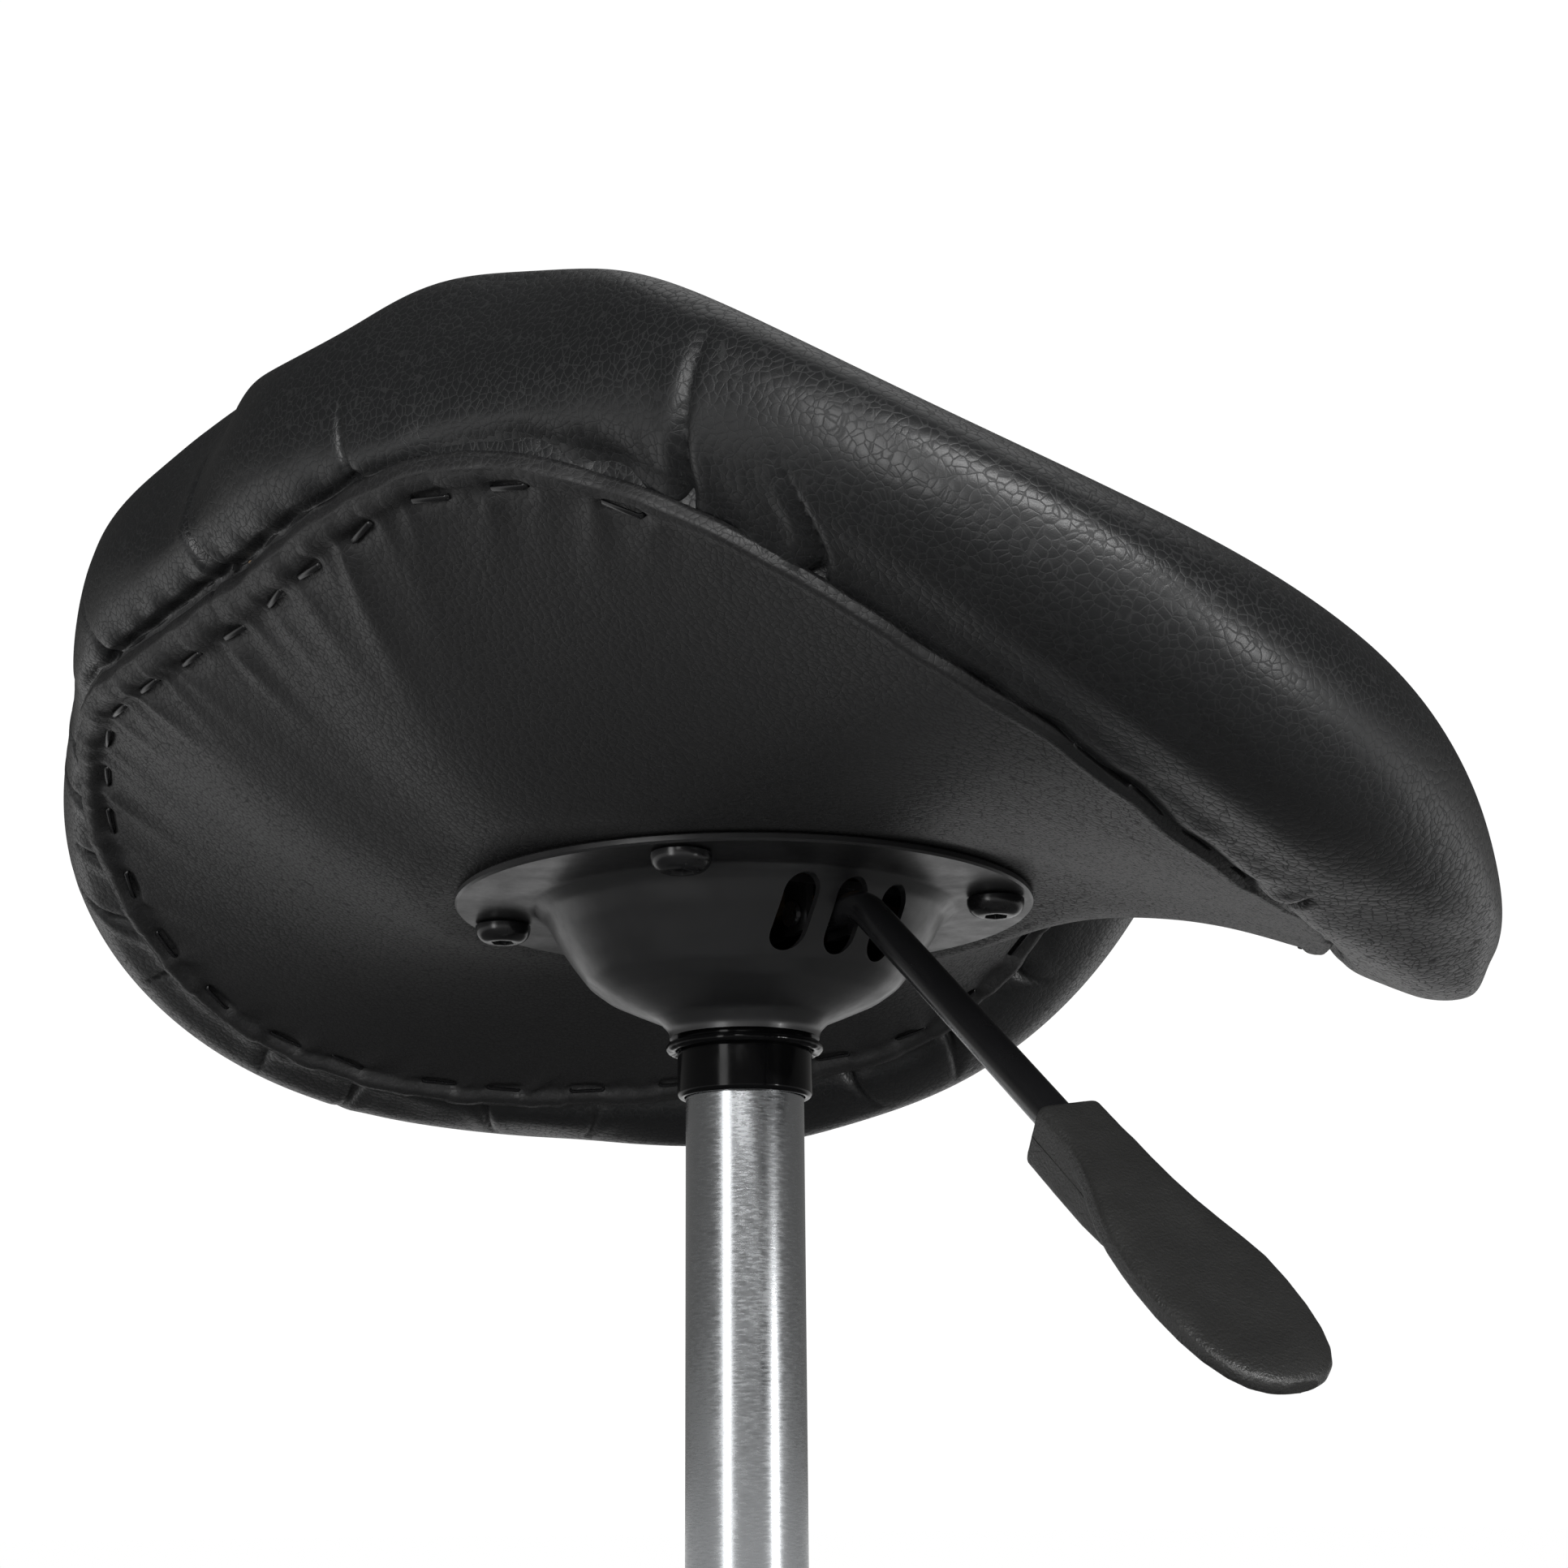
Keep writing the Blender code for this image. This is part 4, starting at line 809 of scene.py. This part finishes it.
def cut(obj, tools, bevel=0.0):
    """Bake exact boolean cuts, then round the edges they leave."""
    material = obj.data.materials[0]
    for each in tools:
        combine(obj, "DIFFERENCE", each)
    if bevel:
        soft = obj.modifiers.new("edge", "BEVEL")
        soft.width = bevel
        soft.segments = 3
        soft.limit_method = "ANGLE"
        soft.angle_limit = math.radians(50)
    data = baked(obj)
    obj.modifiers.clear()
    obj.data = data
    for each in tools:
        bpy.data.objects.remove(each, do_unlink=True)
    data.shade_smooth()
    data.set_sharp_from_angle(angle=math.radians(38))
    data.materials.clear()
    data.materials.append(material)


def tool(name, data):
    """Hidden object used to cut or join, removed afterwards."""
    obj = bpy.data.objects.new(name, data)
    bpy.context.scene.collection.objects.link(obj)
    obj.hide_render = True
    return obj


def disc_outline(radius, sides=32):
    """Points of a circle about the origin."""
    turns = np.linspace(0, 2 * math.pi, sides + 1)[:-1]
    return [(radius * math.cos(t), radius * math.sin(t)) for t in turns]


def slot_outline(half, straight, count=14):
    """Points of a slot with round ends, long in its second coordinate."""
    points = []
    for start, middle in ((0.0, straight), (math.pi, -straight)):
        for i in range(count + 1):
            a = start + math.pi * i / count
            points.append((half * math.cos(a), middle + half * math.sin(a)))
    return points


def prism(name, outline, low, high, axis_map):
    """Extrude an outline between low and high; axis_map places (u, v, w)."""
    verts = [axis_map(u, v, low) for u, v in outline]
    verts += [axis_map(u, v, high) for u, v in outline]
    count = len(outline)
    faces = [tuple(range(count)), tuple(range(count, 2 * count))]
    for i in range(count):
        j = (i + 1) % count
        faces.append((i, j, count + j, count + i))
    return outward(mesh_from(name, verts, faces, False))


SHEET = 0.0020               # thickness of the bell's flange
BOLT_HOLE = 0.0045           # radius of the flange's holes
SLOT_HALF = 0.0040           # half the width of a slot, and half its straight part
SLOT_PITCH = 0.0125
SLOT_DROP = 0.0115           # middle of the slots below the flange


def bell_outline():
    """Smooth outside of the bell read from the frame, flange edge to neck."""
    tree = node_tree("bell_plate")
    low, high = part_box("bell_plate")
    heights = np.linspace(high.z - SHEET - 0.0001, low.z + 0.0002, 150)
    radii = np.array([outer_radius(tree, float(z), 0.0) for z in heights])
    points = np.stack([radii, heights], 1)
    step = np.linalg.norm(np.diff(points, axis=0), axis=1)
    length = np.concatenate([[0.0], np.cumsum(step)])
    even = np.linspace(0.0, length[-1], 180)
    line = np.stack([np.interp(even, length, points[:, k]) for k in range(2)], 1)
    kernel = np.exp(-np.linspace(-2, 2, 17) ** 2)
    kernel /= kernel.sum()
    padded = np.concatenate([np.repeat(line[:1], 8, 0), line, np.repeat(line[-1:], 8, 0)])
    soft = np.stack([np.convolve(padded[:, k], kernel, "valid") for k in range(2)], 1)
    return soft[::2]


def build_bell():
    """Pressed bell with soft radii, three slots and four screw holes."""
    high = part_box("bell_plate")[1]
    rim = max(high.x, high.y)
    side = bell_outline()
    flange_low = high.z - SHEET
    under = [p for p in side if p[1] < flange_low - 0.0002]
    outline = [(rim - 0.0004, high.z), (rim, high.z - 0.0004), (rim, flange_low + 0.0005),
               (rim - 0.0005, flange_low)]
    outline += [(under[0][0] + 0.0030, flange_low), (under[0][0] + 0.0012, flange_low - 0.0001)]
    outline += [tuple(p) for p in under]
    inner = []
    for k in range(len(under)):
        before = Vector(under[max(k - 1, 0)])
        after = Vector(under[min(k + 1, len(under) - 1)])
        run = (after - before).normalized()
        spot = Vector(under[k]) + Vector((run.y, -run.x)) * 0.0016
        if spot.y < high.z and spot.x > 0.0165:
            inner.append((spot.x, spot.y))
    inner.reverse()
    outline += inner + [(inner[-1][0] + 0.001, high.z)]
    data = revolve("pressed_bell", outline, 160)
    obj = new_piece("pressed_bell", data, "bell", "seat", "black_paint", ["bell_plate"])
    tools = []
    for k in range(1, 5):
        a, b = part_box(f"seat_bolt_{k}")
        mid = (a + b) / 2
        data = prism("hole", disc_outline(BOLT_HOLE), high.z - 0.01, high.z + 0.01,
                     lambda u, v, w, m=mid: (m.x + u, m.y + v, w))
        tools.append(tool(f"hole_{k}", data))
    for row in (-1, 0, 1):
        data = prism("slot", slot_outline(SLOT_HALF, SLOT_HALF), -0.058, -0.030,
                     lambda u, v, w, r=row: (w, r * SLOT_PITCH + u, high.z - SLOT_DROP + v))
        tools.append(tool(f"slot_{row + 2}", data))
    cut(obj, tools, 0.0003)


def build_bead():
    """Uneven weld bead under the bell's neck."""
    low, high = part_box("neck_ring")
    rim = max(high.x, high.y)
    half = (high.z - low.z) / 2
    mid = (high.z + low.z) / 2
    sides, around_count = 240, 16
    verts = []
    for k in range(around_count):
        a = 2 * math.pi * k / around_count
        for i in range(sides):
            t = 2 * math.pi * i / sides
            wob = 1.0 + 0.10 * noise.noise(Vector((math.cos(t) * 9, math.sin(t) * 9, 0.4)))
            r = rim - 0.0012 + 0.00125 * math.cos(a) * wob
            z = mid - half * math.sin(a) * wob
            verts.append((r * math.cos(t), r * math.sin(t), z))
    data = outward(mesh_from("weld_bead", verts, grid_faces(around_count, sides, True)))
    new_piece("weld_bead", data, "collar", "seat", "black_paint", ["neck_ring"])


def build_screws():
    """Button heads with a domed face and a hex socket."""
    for k in range(1, 5):
        low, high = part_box(f"seat_bolt_{k}")
        mid = (low + high) / 2
        r = (high.x - low.x) / 2
        head = FLANGE_Z - 0.0023
        face = low.z
        dome = []
        shoulder = head - 0.0009
        for i in range(9):
            a = math.pi / 2 * i / 8
            dome.append((r * (0.52 + 0.48 * math.cos(a)),
                         shoulder - (shoulder - face) * math.sin(a)))
        outline = [(0.0002, high.z), (0.0038, high.z), (0.0038, head), (r - 0.0003, head),
                   (r, head - 0.0003)] + dome + [(0.0002, face)]
        data = revolve("button_screw", outline, 64)
        data.transform(Matrix.Translation((mid.x, mid.y, 0.0)))
        obj = new_piece(f"button_screw_{k}", data, "screw", "seat", "black_screw",
                        [f"seat_bolt_{k}"])
        turn = 0.3 + k * 1.1
        corners = [turn + math.pi / 3 * i for i in range(6)]
        hexagon = [(0.0029 * math.cos(a), 0.0029 * math.sin(a)) for a in corners]
        data = prism("hex", hexagon, face - 0.002, face + 0.0024,
                     lambda u, v, w, m=mid: (m.x + u, m.y + v, w))
        cut(obj, [tool(f"hex_{k}", data)], 0.00015)


def outline_of(node):
    """Closed outline (radius, z) of a turned frame node, read along one meridian."""
    bm = welded(node)
    line = {v for v in bm.verts if abs(v.co.y) < 1e-6 and v.co.x > 1e-5}
    first = max(line, key=lambda v: (v.co.z, v.co.x))
    loop = [first]
    last = None
    while True:
        here = loop[-1]
        ways = [e.other_vert(here) for e in here.link_edges]
        ways = [v for v in ways if v in line and v is not last and v not in loop[1:]]
        if not ways or (ways[0] is first and len(loop) > 2):
            break
        last = here
        loop.append(ways[0] if ways[0] is not first or len(ways) == 1 else ways[1])
        if loop[-1] is first:
            loop.pop()
            break
    points = [(v.co.x, v.co.z) for v in loop]
    bm.free()
    return points


def eased(points, radius):
    """Round the corners of a closed outline by a small radius."""
    result = []
    count = len(points)
    for k in range(count):
        a, b, c = (Vector(points[k - 1]), Vector(points[k]), Vector(points[(k + 1) % count]))
        back = min(radius, (a - b).length * 0.4)
        ahead = min(radius, (c - b).length * 0.4)
        start = b + (a - b).normalized() * back
        end = b + (c - b).normalized() * ahead
        for t in (0.0, 0.25, 0.5, 0.75, 1.0):
            spot = start * (1 - t) ** 2 + b * 2 * t * (1 - t) + end * t ** 2
            result.append((max(spot.x, 1e-5), spot.y))
    return result


def turned(name, node, key, body, slot, radius=0.0004):
    """Finely turned copy of a round frame node with eased edges."""
    data = revolve(name, eased(outline_of(node), radius), 160)
    return new_piece(name, data, key, body, slot, [node])


def build_rod():
    """Bent lever rod swept from the pivot into the grip."""
    low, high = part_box("lever_rod")
    pivot = Vector(JOINTS["lever_tilt"]["pos_m"])
    radius, growth = 0.0035, 0.0004
    drop = LEVER_DROP
    bend_x, bend = -0.050, 0.014
    path = [Vector((high.x - 0.0002, 0, pivot.z)), Vector((high.x - 0.0012, 0, pivot.z))]
    tangent = bend * math.tan(drop / 2)
    path.append(Vector((bend_x + tangent + 0.006, 0, pivot.z)))
    centre = Vector((bend_x + tangent, 0, pivot.z - bend))
    for k in range(15):
        a = drop * k / 14
        path.append(centre + Vector((-bend * math.sin(a), 0, bend * math.cos(a))))
    along = Vector((-math.cos(drop), 0, -math.sin(drop)))
    end_x = low.x + radius * math.sin(drop)
    length = (path[-1].x - end_x) / math.cos(drop)
    path += [path[-1] + along * (length * part) for part in (0.3, 0.7, 1.0)]
    sides = 40
    verts = []
    for k, spot in enumerate(path):
        run = (path[min(k + 1, len(path) - 1)] - path[max(k - 1, 0)]).normalized()
        side = Vector((0, 1, 0))
        upright = run.cross(side)
        size = radius + growth * min(1.0, max(0.0, (k - 3) / 12))
        size -= growth if k in (0, len(path) - 1) else 0.0
        for i in range(sides):
            a = 2 * math.pi * i / sides
            verts.append(spot + side * (size * math.cos(a)) + upright * (size * math.sin(a)))
    data = outward(mesh_from("bent_rod", verts, capped_faces(len(path), sides)))
    obj = new_piece("bent_rod", data, "rod", "lever", "black_paint", ["lever_rod"])
    pin_low, pin_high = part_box("pivot_pin")
    pin_r = (pin_high.x - pin_low.x) / 2 + 0.0003
    drill = prism("drill", disc_outline(pin_r), -0.01, 0.01,
                  lambda u, v, w: (pivot.x + u, w, pivot.z + v))
    cut(obj, [tool("drill", drill)])


def build_turned():
    """Fine copies of the turned pieces that show; the inner pieces get materials."""
    turned("glossy_collar", "socket_tube", "collar", "seat", "collar_paint")
    turned("bright_cylinder", "gas_cylinder", "tube", "seat", "bright_steel")
    turned("chromed_column", "outer_column", "chrome", "base", "chrome", 0.0010)
    turned("moulded_bushing", "guide_bushing", "bushing", "base", "black_plastic", 0.0008)
    inner = {"piston_rod": "hard_chrome", "piston": "nylon", "rubber_buffer": "rubber",
             "rod_guide": "rubber", "retaining_clip": "spring", "bearing_race_lower": "steel",
             "bearing_race_upper": "steel", "bearing_ball_cage": "brass",
             "release_button": "steel", "lever_bracket": "bell", "pivot_pin": "steel",
             "seat_board": "wood"}
    inner.update({f"t_nut_{k}": "zinc" for k in range(1, 5)})
    for node, key in inner.items():
        dress(node, key)


# ================================================================ smooth copies
def remade(obj, name, voxel, passes, looks, node):
    """Remesh an object finely, ease its edges and show the result instead of a node."""
    mesh = obj.modifiers.new("fine", "REMESH")
    mesh.mode = "VOXEL"
    mesh.voxel_size = voxel
    ease = obj.modifiers.new("ease", "SMOOTH")
    ease.factor = 0.5
    ease.iterations = passes
    data = baked(obj)
    bpy.data.objects.remove(obj, do_unlink=True)
    data.name = name
    data.shade_smooth()
    new_piece(name, data, *looks, [node])


def build_base():
    """Polished five-arm star with softly rounded edges."""
    copy = tool("cast_star", NODES["base_star"].data.copy())
    remade(copy, "cast_star", 0.0014, 10, ("star", "base", "polished_aluminium"), "base_star")


def tapered(sections, start, along, across, normal):
    """Mesh through rounded sections: place, low and high side, low and high level, power."""
    count = 48
    verts = []
    for distance, left, right, low, high, power in sections:
        for i in range(count):
            a = 2 * math.pi * i / count
            c, s = math.cos(a), math.sin(a)
            y = (right + left) / 2 + (left - right) / 2 * math.copysign(abs(c) ** (2 / power), c)
            n = (high + low) / 2 + (high - low) / 2 * math.copysign(abs(s) ** (2 / power), s)
            verts.append(start + along * distance + across * y + normal * n)
    return outward(mesh_from("tapered", verts, capped_faces(len(sections), count)))


# Box of the neck and blade of the paddle, in metres along and across the grip.
NECK = ((0.0000, 0.0064, -0.0064, -0.0072, 0.0050, 9.0),
        (0.0008, 0.0072, -0.0072, -0.0080, 0.0057, 9.0),
        (0.0120, 0.0073, -0.0073, -0.0081, 0.0057, 9.0),
        (0.0220, 0.0074, -0.0074, -0.0080, 0.0056, 9.0),
        (0.0290, 0.0072, -0.0075, -0.0077, 0.0054, 8.0),
        (0.0340, 0.0064, -0.0072, -0.0071, 0.0050, 7.0),
        (0.0380, 0.0052, -0.0064, -0.0062, 0.0046, 6.0),
        (0.0420, 0.0042, -0.0052, -0.0050, 0.0040, 5.0),
        (0.0455, 0.0030, -0.0040, -0.0036, 0.0034, 4.0))
BLADE = ((0.0060, 0.0068, -0.0068, 0.0030, 0.0055, 5.0),
         (0.0140, 0.0073, -0.0073, 0.0015, 0.0057, 6.0),
         (0.0200, 0.0084, -0.0075, 0.0002, 0.0057, 6.0),
         (0.0270, 0.0104, -0.0082, -0.0010, 0.0055, 6.0),
         (0.0330, 0.0122, -0.0096, -0.0017, 0.0050, 5.5),
         (0.0390, 0.0134, -0.0114, -0.0020, 0.0045, 5.0),
         (0.0450, 0.0140, -0.0132, -0.0022, 0.0040, 5.0),
         (0.0500, 0.0143, -0.0143, -0.0023, 0.0037, 5.0),
         (0.0570, 0.0143, -0.0144, -0.0024, 0.0034, 5.0),
         (0.0640, 0.0139, -0.0139, -0.0024, 0.0032, 4.5),
         (0.0700, 0.0129, -0.0129, -0.0024, 0.0030, 4.0),
         (0.0750, 0.0112, -0.0112, -0.0023, 0.0029, 3.6),
         (0.0785, 0.0091, -0.0091, -0.0021, 0.0027, 3.2),
         (0.0808, 0.0064, -0.0064, -0.0017, 0.0024, 2.8),
         (0.0820, 0.0034, -0.0034, -0.0010, 0.0018, 2.4))


def build_grip():
    """Boxy neck flowing into a flat paddle, with a moulding line along its side."""
    drop, roll = LEVER_DROP, GRIP_ROLL
    along = Vector((-math.cos(drop), 0.0, -math.sin(drop)))
    level = Vector((-math.sin(drop), 0.0, math.cos(drop)))
    side = Vector((0, 1, 0))
    normal = level * math.cos(roll) + side * math.sin(roll)
    across = side * math.cos(roll) - level * math.sin(roll)
    points = [v.co for v in NODES["lever_grip"].data.vertices]
    first = min(points, key=lambda p: p.dot(along)).dot(along)
    face = [p for p in points if p.dot(along) < first + 0.0003]
    start = sum(face, Vector()) / len(face)
    body = tool("neck", tapered(NECK, start, along, across, normal))
    blade = tool("blade", tapered(BLADE, start, along, across, normal))
    combine(body, "UNION", blade)
    remade(body, "moulded_grip", 0.00042, 5, ("grip", "lever", "black_plastic"), "lever_grip")
    bpy.data.objects.remove(blade, do_unlink=True)
    add_seam(start, along, across, normal)


def add_seam(start, along, across, normal):
    """Fine moulding line down the side of the grip's neck."""
    path = ((0.001, 0.0072, -0.0012), (0.012, 0.0073, -0.0012), (0.020, 0.0074, -0.0013),
            (0.026, 0.0073, -0.0018), (0.031, 0.0069, -0.0026))
    verts = []
    for distance, y, n in path:
        centre = start + along * distance + across * (y - 0.00028) + normal * n
        verts += [centre + across * (0.0004 * math.cos(t)) + normal * (0.0002 * math.sin(t))
                  for t in (0.0, 1.1, 2.0, 4.3, 5.2)]
    data = outward(mesh_from("grip_seam", verts, capped_faces(len(path), 5)))
    new_piece("grip_seam", data, "grip", "lever", "black_plastic")


def caster_frames():
    """Matrix of each caster: origin under the stem, +X the way it trails."""
    result = []
    for n in range(1, 6):
        stem = Vector(JOINTS[f"caster_{n}_swivel"]["pos_m"])
        wheel = Vector(JOINTS[f"wheel_{n}_left_roll"]["pos_m"])
        trail = Vector((wheel.x - stem.x, wheel.y - stem.y, 0.0))
        turn = math.atan2(trail.y, trail.x)
        result.append((n, Matrix.Translation((stem.x, stem.y, 0.0)) @ Matrix.Rotation(turn, 4, "Z"),
                       trail.length, wheel.z))
    return result


WHEEL_WIDTH = 0.0140
WHEEL_BORE = 0.0033
WHEEL_SIDE = 0.0156          # middle of a wheel to the side of its caster


def wheel_mesh(radius):
    """Wheel about Y: rounded tread, dished face with a ring and a hub cap."""
    half, axle = WHEEL_WIDTH / 2, WHEEL_BORE
    outline = [(axle, half - 0.0032), (0.0062, half - 0.0032), (0.0068, half - 0.0026),
               (0.0072, half - 0.0012), (0.0084, half - 0.0010), (0.0090, half - 0.0024),
               (0.0165, half - 0.0034), (0.0185, half - 0.0030), (0.0196, half - 0.0004),
               (0.0210, half)]
    for i in range(7):
        a = math.radians(90 - 15 * i)
        outline.append((radius - 0.0032 * (1 - math.cos(a)), half - 0.0032 * (1 - math.sin(a))))
    outline += [(radius, 0.0), (radius, -half + 0.0012), (radius - 0.0004, -half + 0.0004),
                (radius - 0.0012, -half), (axle, -half)]
    data = revolve("wheel", outline, 96)
    data.transform(Matrix.Rotation(-math.pi / 2, 4, "X"))
    return data


def build_casters():
    """Five moulded hoods, each with a pair of wheels."""
    for n, place, trail, height in caster_frames():
        hood = f"caster_{n}_hood"
        remade(tool("hood", NODES[hood].data.copy()), f"moulded_hood_{n}", 0.0007, 4,
               ("hood", f"caster_{n}", "black_plastic"), hood)
        dress(f"caster_{n}_stem", "steel")
        dress(f"caster_{n}_axle", "steel")
        for side, sign in (("left", 1), ("right", -1)):
            data = wheel_mesh(height)
            if sign < 0:
                data.transform(Matrix.Rotation(math.pi, 4, "Z"))
            data.transform(place @ Matrix.Translation((trail, sign * WHEEL_SIDE, height)))
            new_piece(f"twin_wheel_{n}_{side}", data, "wheel", f"wheel_{n}_{side}",
                      "black_plastic", [f"caster_{n}_wheel_{side}"])


# ================================================================ stage
def floor_paper():
    """White paper that fades to light away from the stool, and reflects less than it shows."""
    s = Shader("floor_paper", (0.86, 0.86, 0.86), 0.9)
    s.normal(s.bump(s.noise(s.place(), 300.0), 0.05, 0.0005))
    far = s.node("ShaderNodeVectorMath", operation="LENGTH")
    s.link(s.node("ShaderNodeTexCoord").outputs["Object"], far.inputs[0])
    away = far.outputs["Value"]
    glow = s.node("ShaderNodeEmission", Strength=1.0).outputs["Emission"]
    shown = s.mix(s.soft_span(away, 0.45, 2.2), s.out.outputs["BSDF"], glow)
    shade = s.node("ShaderNodeBsdfDiffuse", Color=(0.27, 0.27, 0.27, 1.0)).outputs["BSDF"]
    sweep = s.node("ShaderNodeEmission", Strength=0.85).outputs["Emission"]
    room = s.mix(s.soft_span(away, 0.9, 1.9), shade, sweep)
    seen = s.node("ShaderNodeLightPath").outputs["Is Camera Ray"]
    s.link(s.mix(seen, room, shown), s.tree.nodes["Material Output"].inputs["Surface"])
    return s.mat


def build_world():
    """Sky that is white to the camera and, as light on the stool, dim and dimmest overhead."""
    world = bpy.data.worlds.new("studio")
    bpy.context.scene.world = world
    world.use_nodes = True
    t = Tree(world.node_tree)
    back = t.tree.nodes["Background"]
    back.inputs["Color"].default_value = (1.0, 1.0, 1.0, 1.0)
    back.inputs["Strength"].default_value = 1.05
    dim = t.node("ShaderNodeBackground", Color=(1.0, 0.99, 0.97, 1.0))
    parts = t.node("ShaderNodeSeparateXYZ")
    t.link(t.node("ShaderNodeTexCoord").outputs["Generated"], parts.inputs["Vector"])
    t.link(t.soft_span(parts.outputs["Z"], 0.14, 0.34, 0.22, 0.05), dim.inputs["Strength"])
    seen = t.node("ShaderNodeLightPath").outputs["Is Camera Ray"]
    shown = t.mix(seen, dim.outputs["Background"], back.outputs["Background"])
    t.link(shown, t.tree.nodes["World Output"].inputs["Surface"])


def build_stage():
    """Paper floor under the casters, the sky, and plain colour."""
    bpy.ops.mesh.primitive_plane_add(size=60.0, location=(0, 0, -0.0002))
    floor = bpy.context.object
    floor.name = "studio_floor"
    floor.data.materials.append(floor_paper())
    build_world()
    bpy.context.scene.view_settings.view_transform = "Standard"


def softbox(name, place, target, size, power):
    """Rectangular soft light aimed at a point."""
    data = bpy.data.lights.new(name, "AREA")
    data.shape = "RECTANGLE"
    data.size, data.size_y = size
    data.energy = power
    obj = bpy.data.objects.new(name, data)
    bpy.context.scene.collection.objects.link(obj)
    obj.location = place
    obj.rotation_euler = (Vector(target) - Vector(place)).to_track_quat("-Z", "Y").to_euler()


# Camera, placed from the flange: direction from the pole, distance, drop, pitch, roll.
VIEW_TURN = math.radians(148.0)
VIEW_DISTANCE = 0.610
VIEW_DROP = 0.140
VIEW_PITCH = math.radians(15.56)
VIEW_ROLL = math.radians(0.25)
VIEW_LENS = 59.38
VIEW_SHIFT = 0.0258


def build_camera():
    """Camera low beside the stool, looking up at the underside of the seat."""
    data = bpy.data.cameras.new("photo_view")
    data.sensor_width = 36.0
    data.lens = VIEW_LENS
    data.shift_x = VIEW_SHIFT
    data.clip_start = 0.01
    obj = bpy.data.objects.new("photo_view", data)
    bpy.context.scene.collection.objects.link(obj)
    away = Vector((math.cos(VIEW_TURN), math.sin(VIEW_TURN), 0.0))
    level = Vector((-away.y, away.x, 0.0))
    look = -away * math.cos(VIEW_PITCH) + Vector((0, 0, math.sin(VIEW_PITCH)))
    upright = Vector((0, 0, math.cos(VIEW_PITCH))) + away * math.sin(VIEW_PITCH)
    right = level * math.cos(VIEW_ROLL) - upright * math.sin(VIEW_ROLL)
    top = level * math.sin(VIEW_ROLL) + upright * math.cos(VIEW_ROLL)
    basis = Matrix((right, top, -look)).transposed().to_4x4()
    spot = away * VIEW_DISTANCE + Vector((0, 0, FLANGE_Z - VIEW_DROP))
    obj.matrix_world = Matrix.Translation(spot) @ basis
    bpy.context.scene.camera = obj


def build_lights():
    """Narrow boxes that draw lines on the tube, a broad one for the rim, two soft fills."""
    middle = Vector((0, 0, FLANGE_Z))

    def around_pole(degrees, distance, rise):
        turn = math.radians(degrees)
        return middle + Vector((distance * math.cos(turn), distance * math.sin(turn), rise))

    softbox("key_box", around_pole(203.0, 1.5, -0.18), middle, (0.10, 0.30), 4.0)
    softbox("broad_box", around_pole(160.0, 1.6, 0.53), middle, (1.60, 0.30), 27.0)
    softbox("left_box", around_pole(112.0, 1.5, 0.05), middle, (0.36, 1.10), 8.0)
    softbox("top_box", around_pole(300.0, 0.5, 1.7), middle, (1.5, 1.5), 5.0)
    softbox("back_box", around_pole(330.0, 1.9, 0.9), middle, (1.0, 0.8), 2.0)


build_cushion()
build_underside()
build_bell()
build_bead()
build_screws()
build_turned()
build_rod()
build_grip()
build_base()
build_casters()
build_stage()
build_camera()
build_lights()
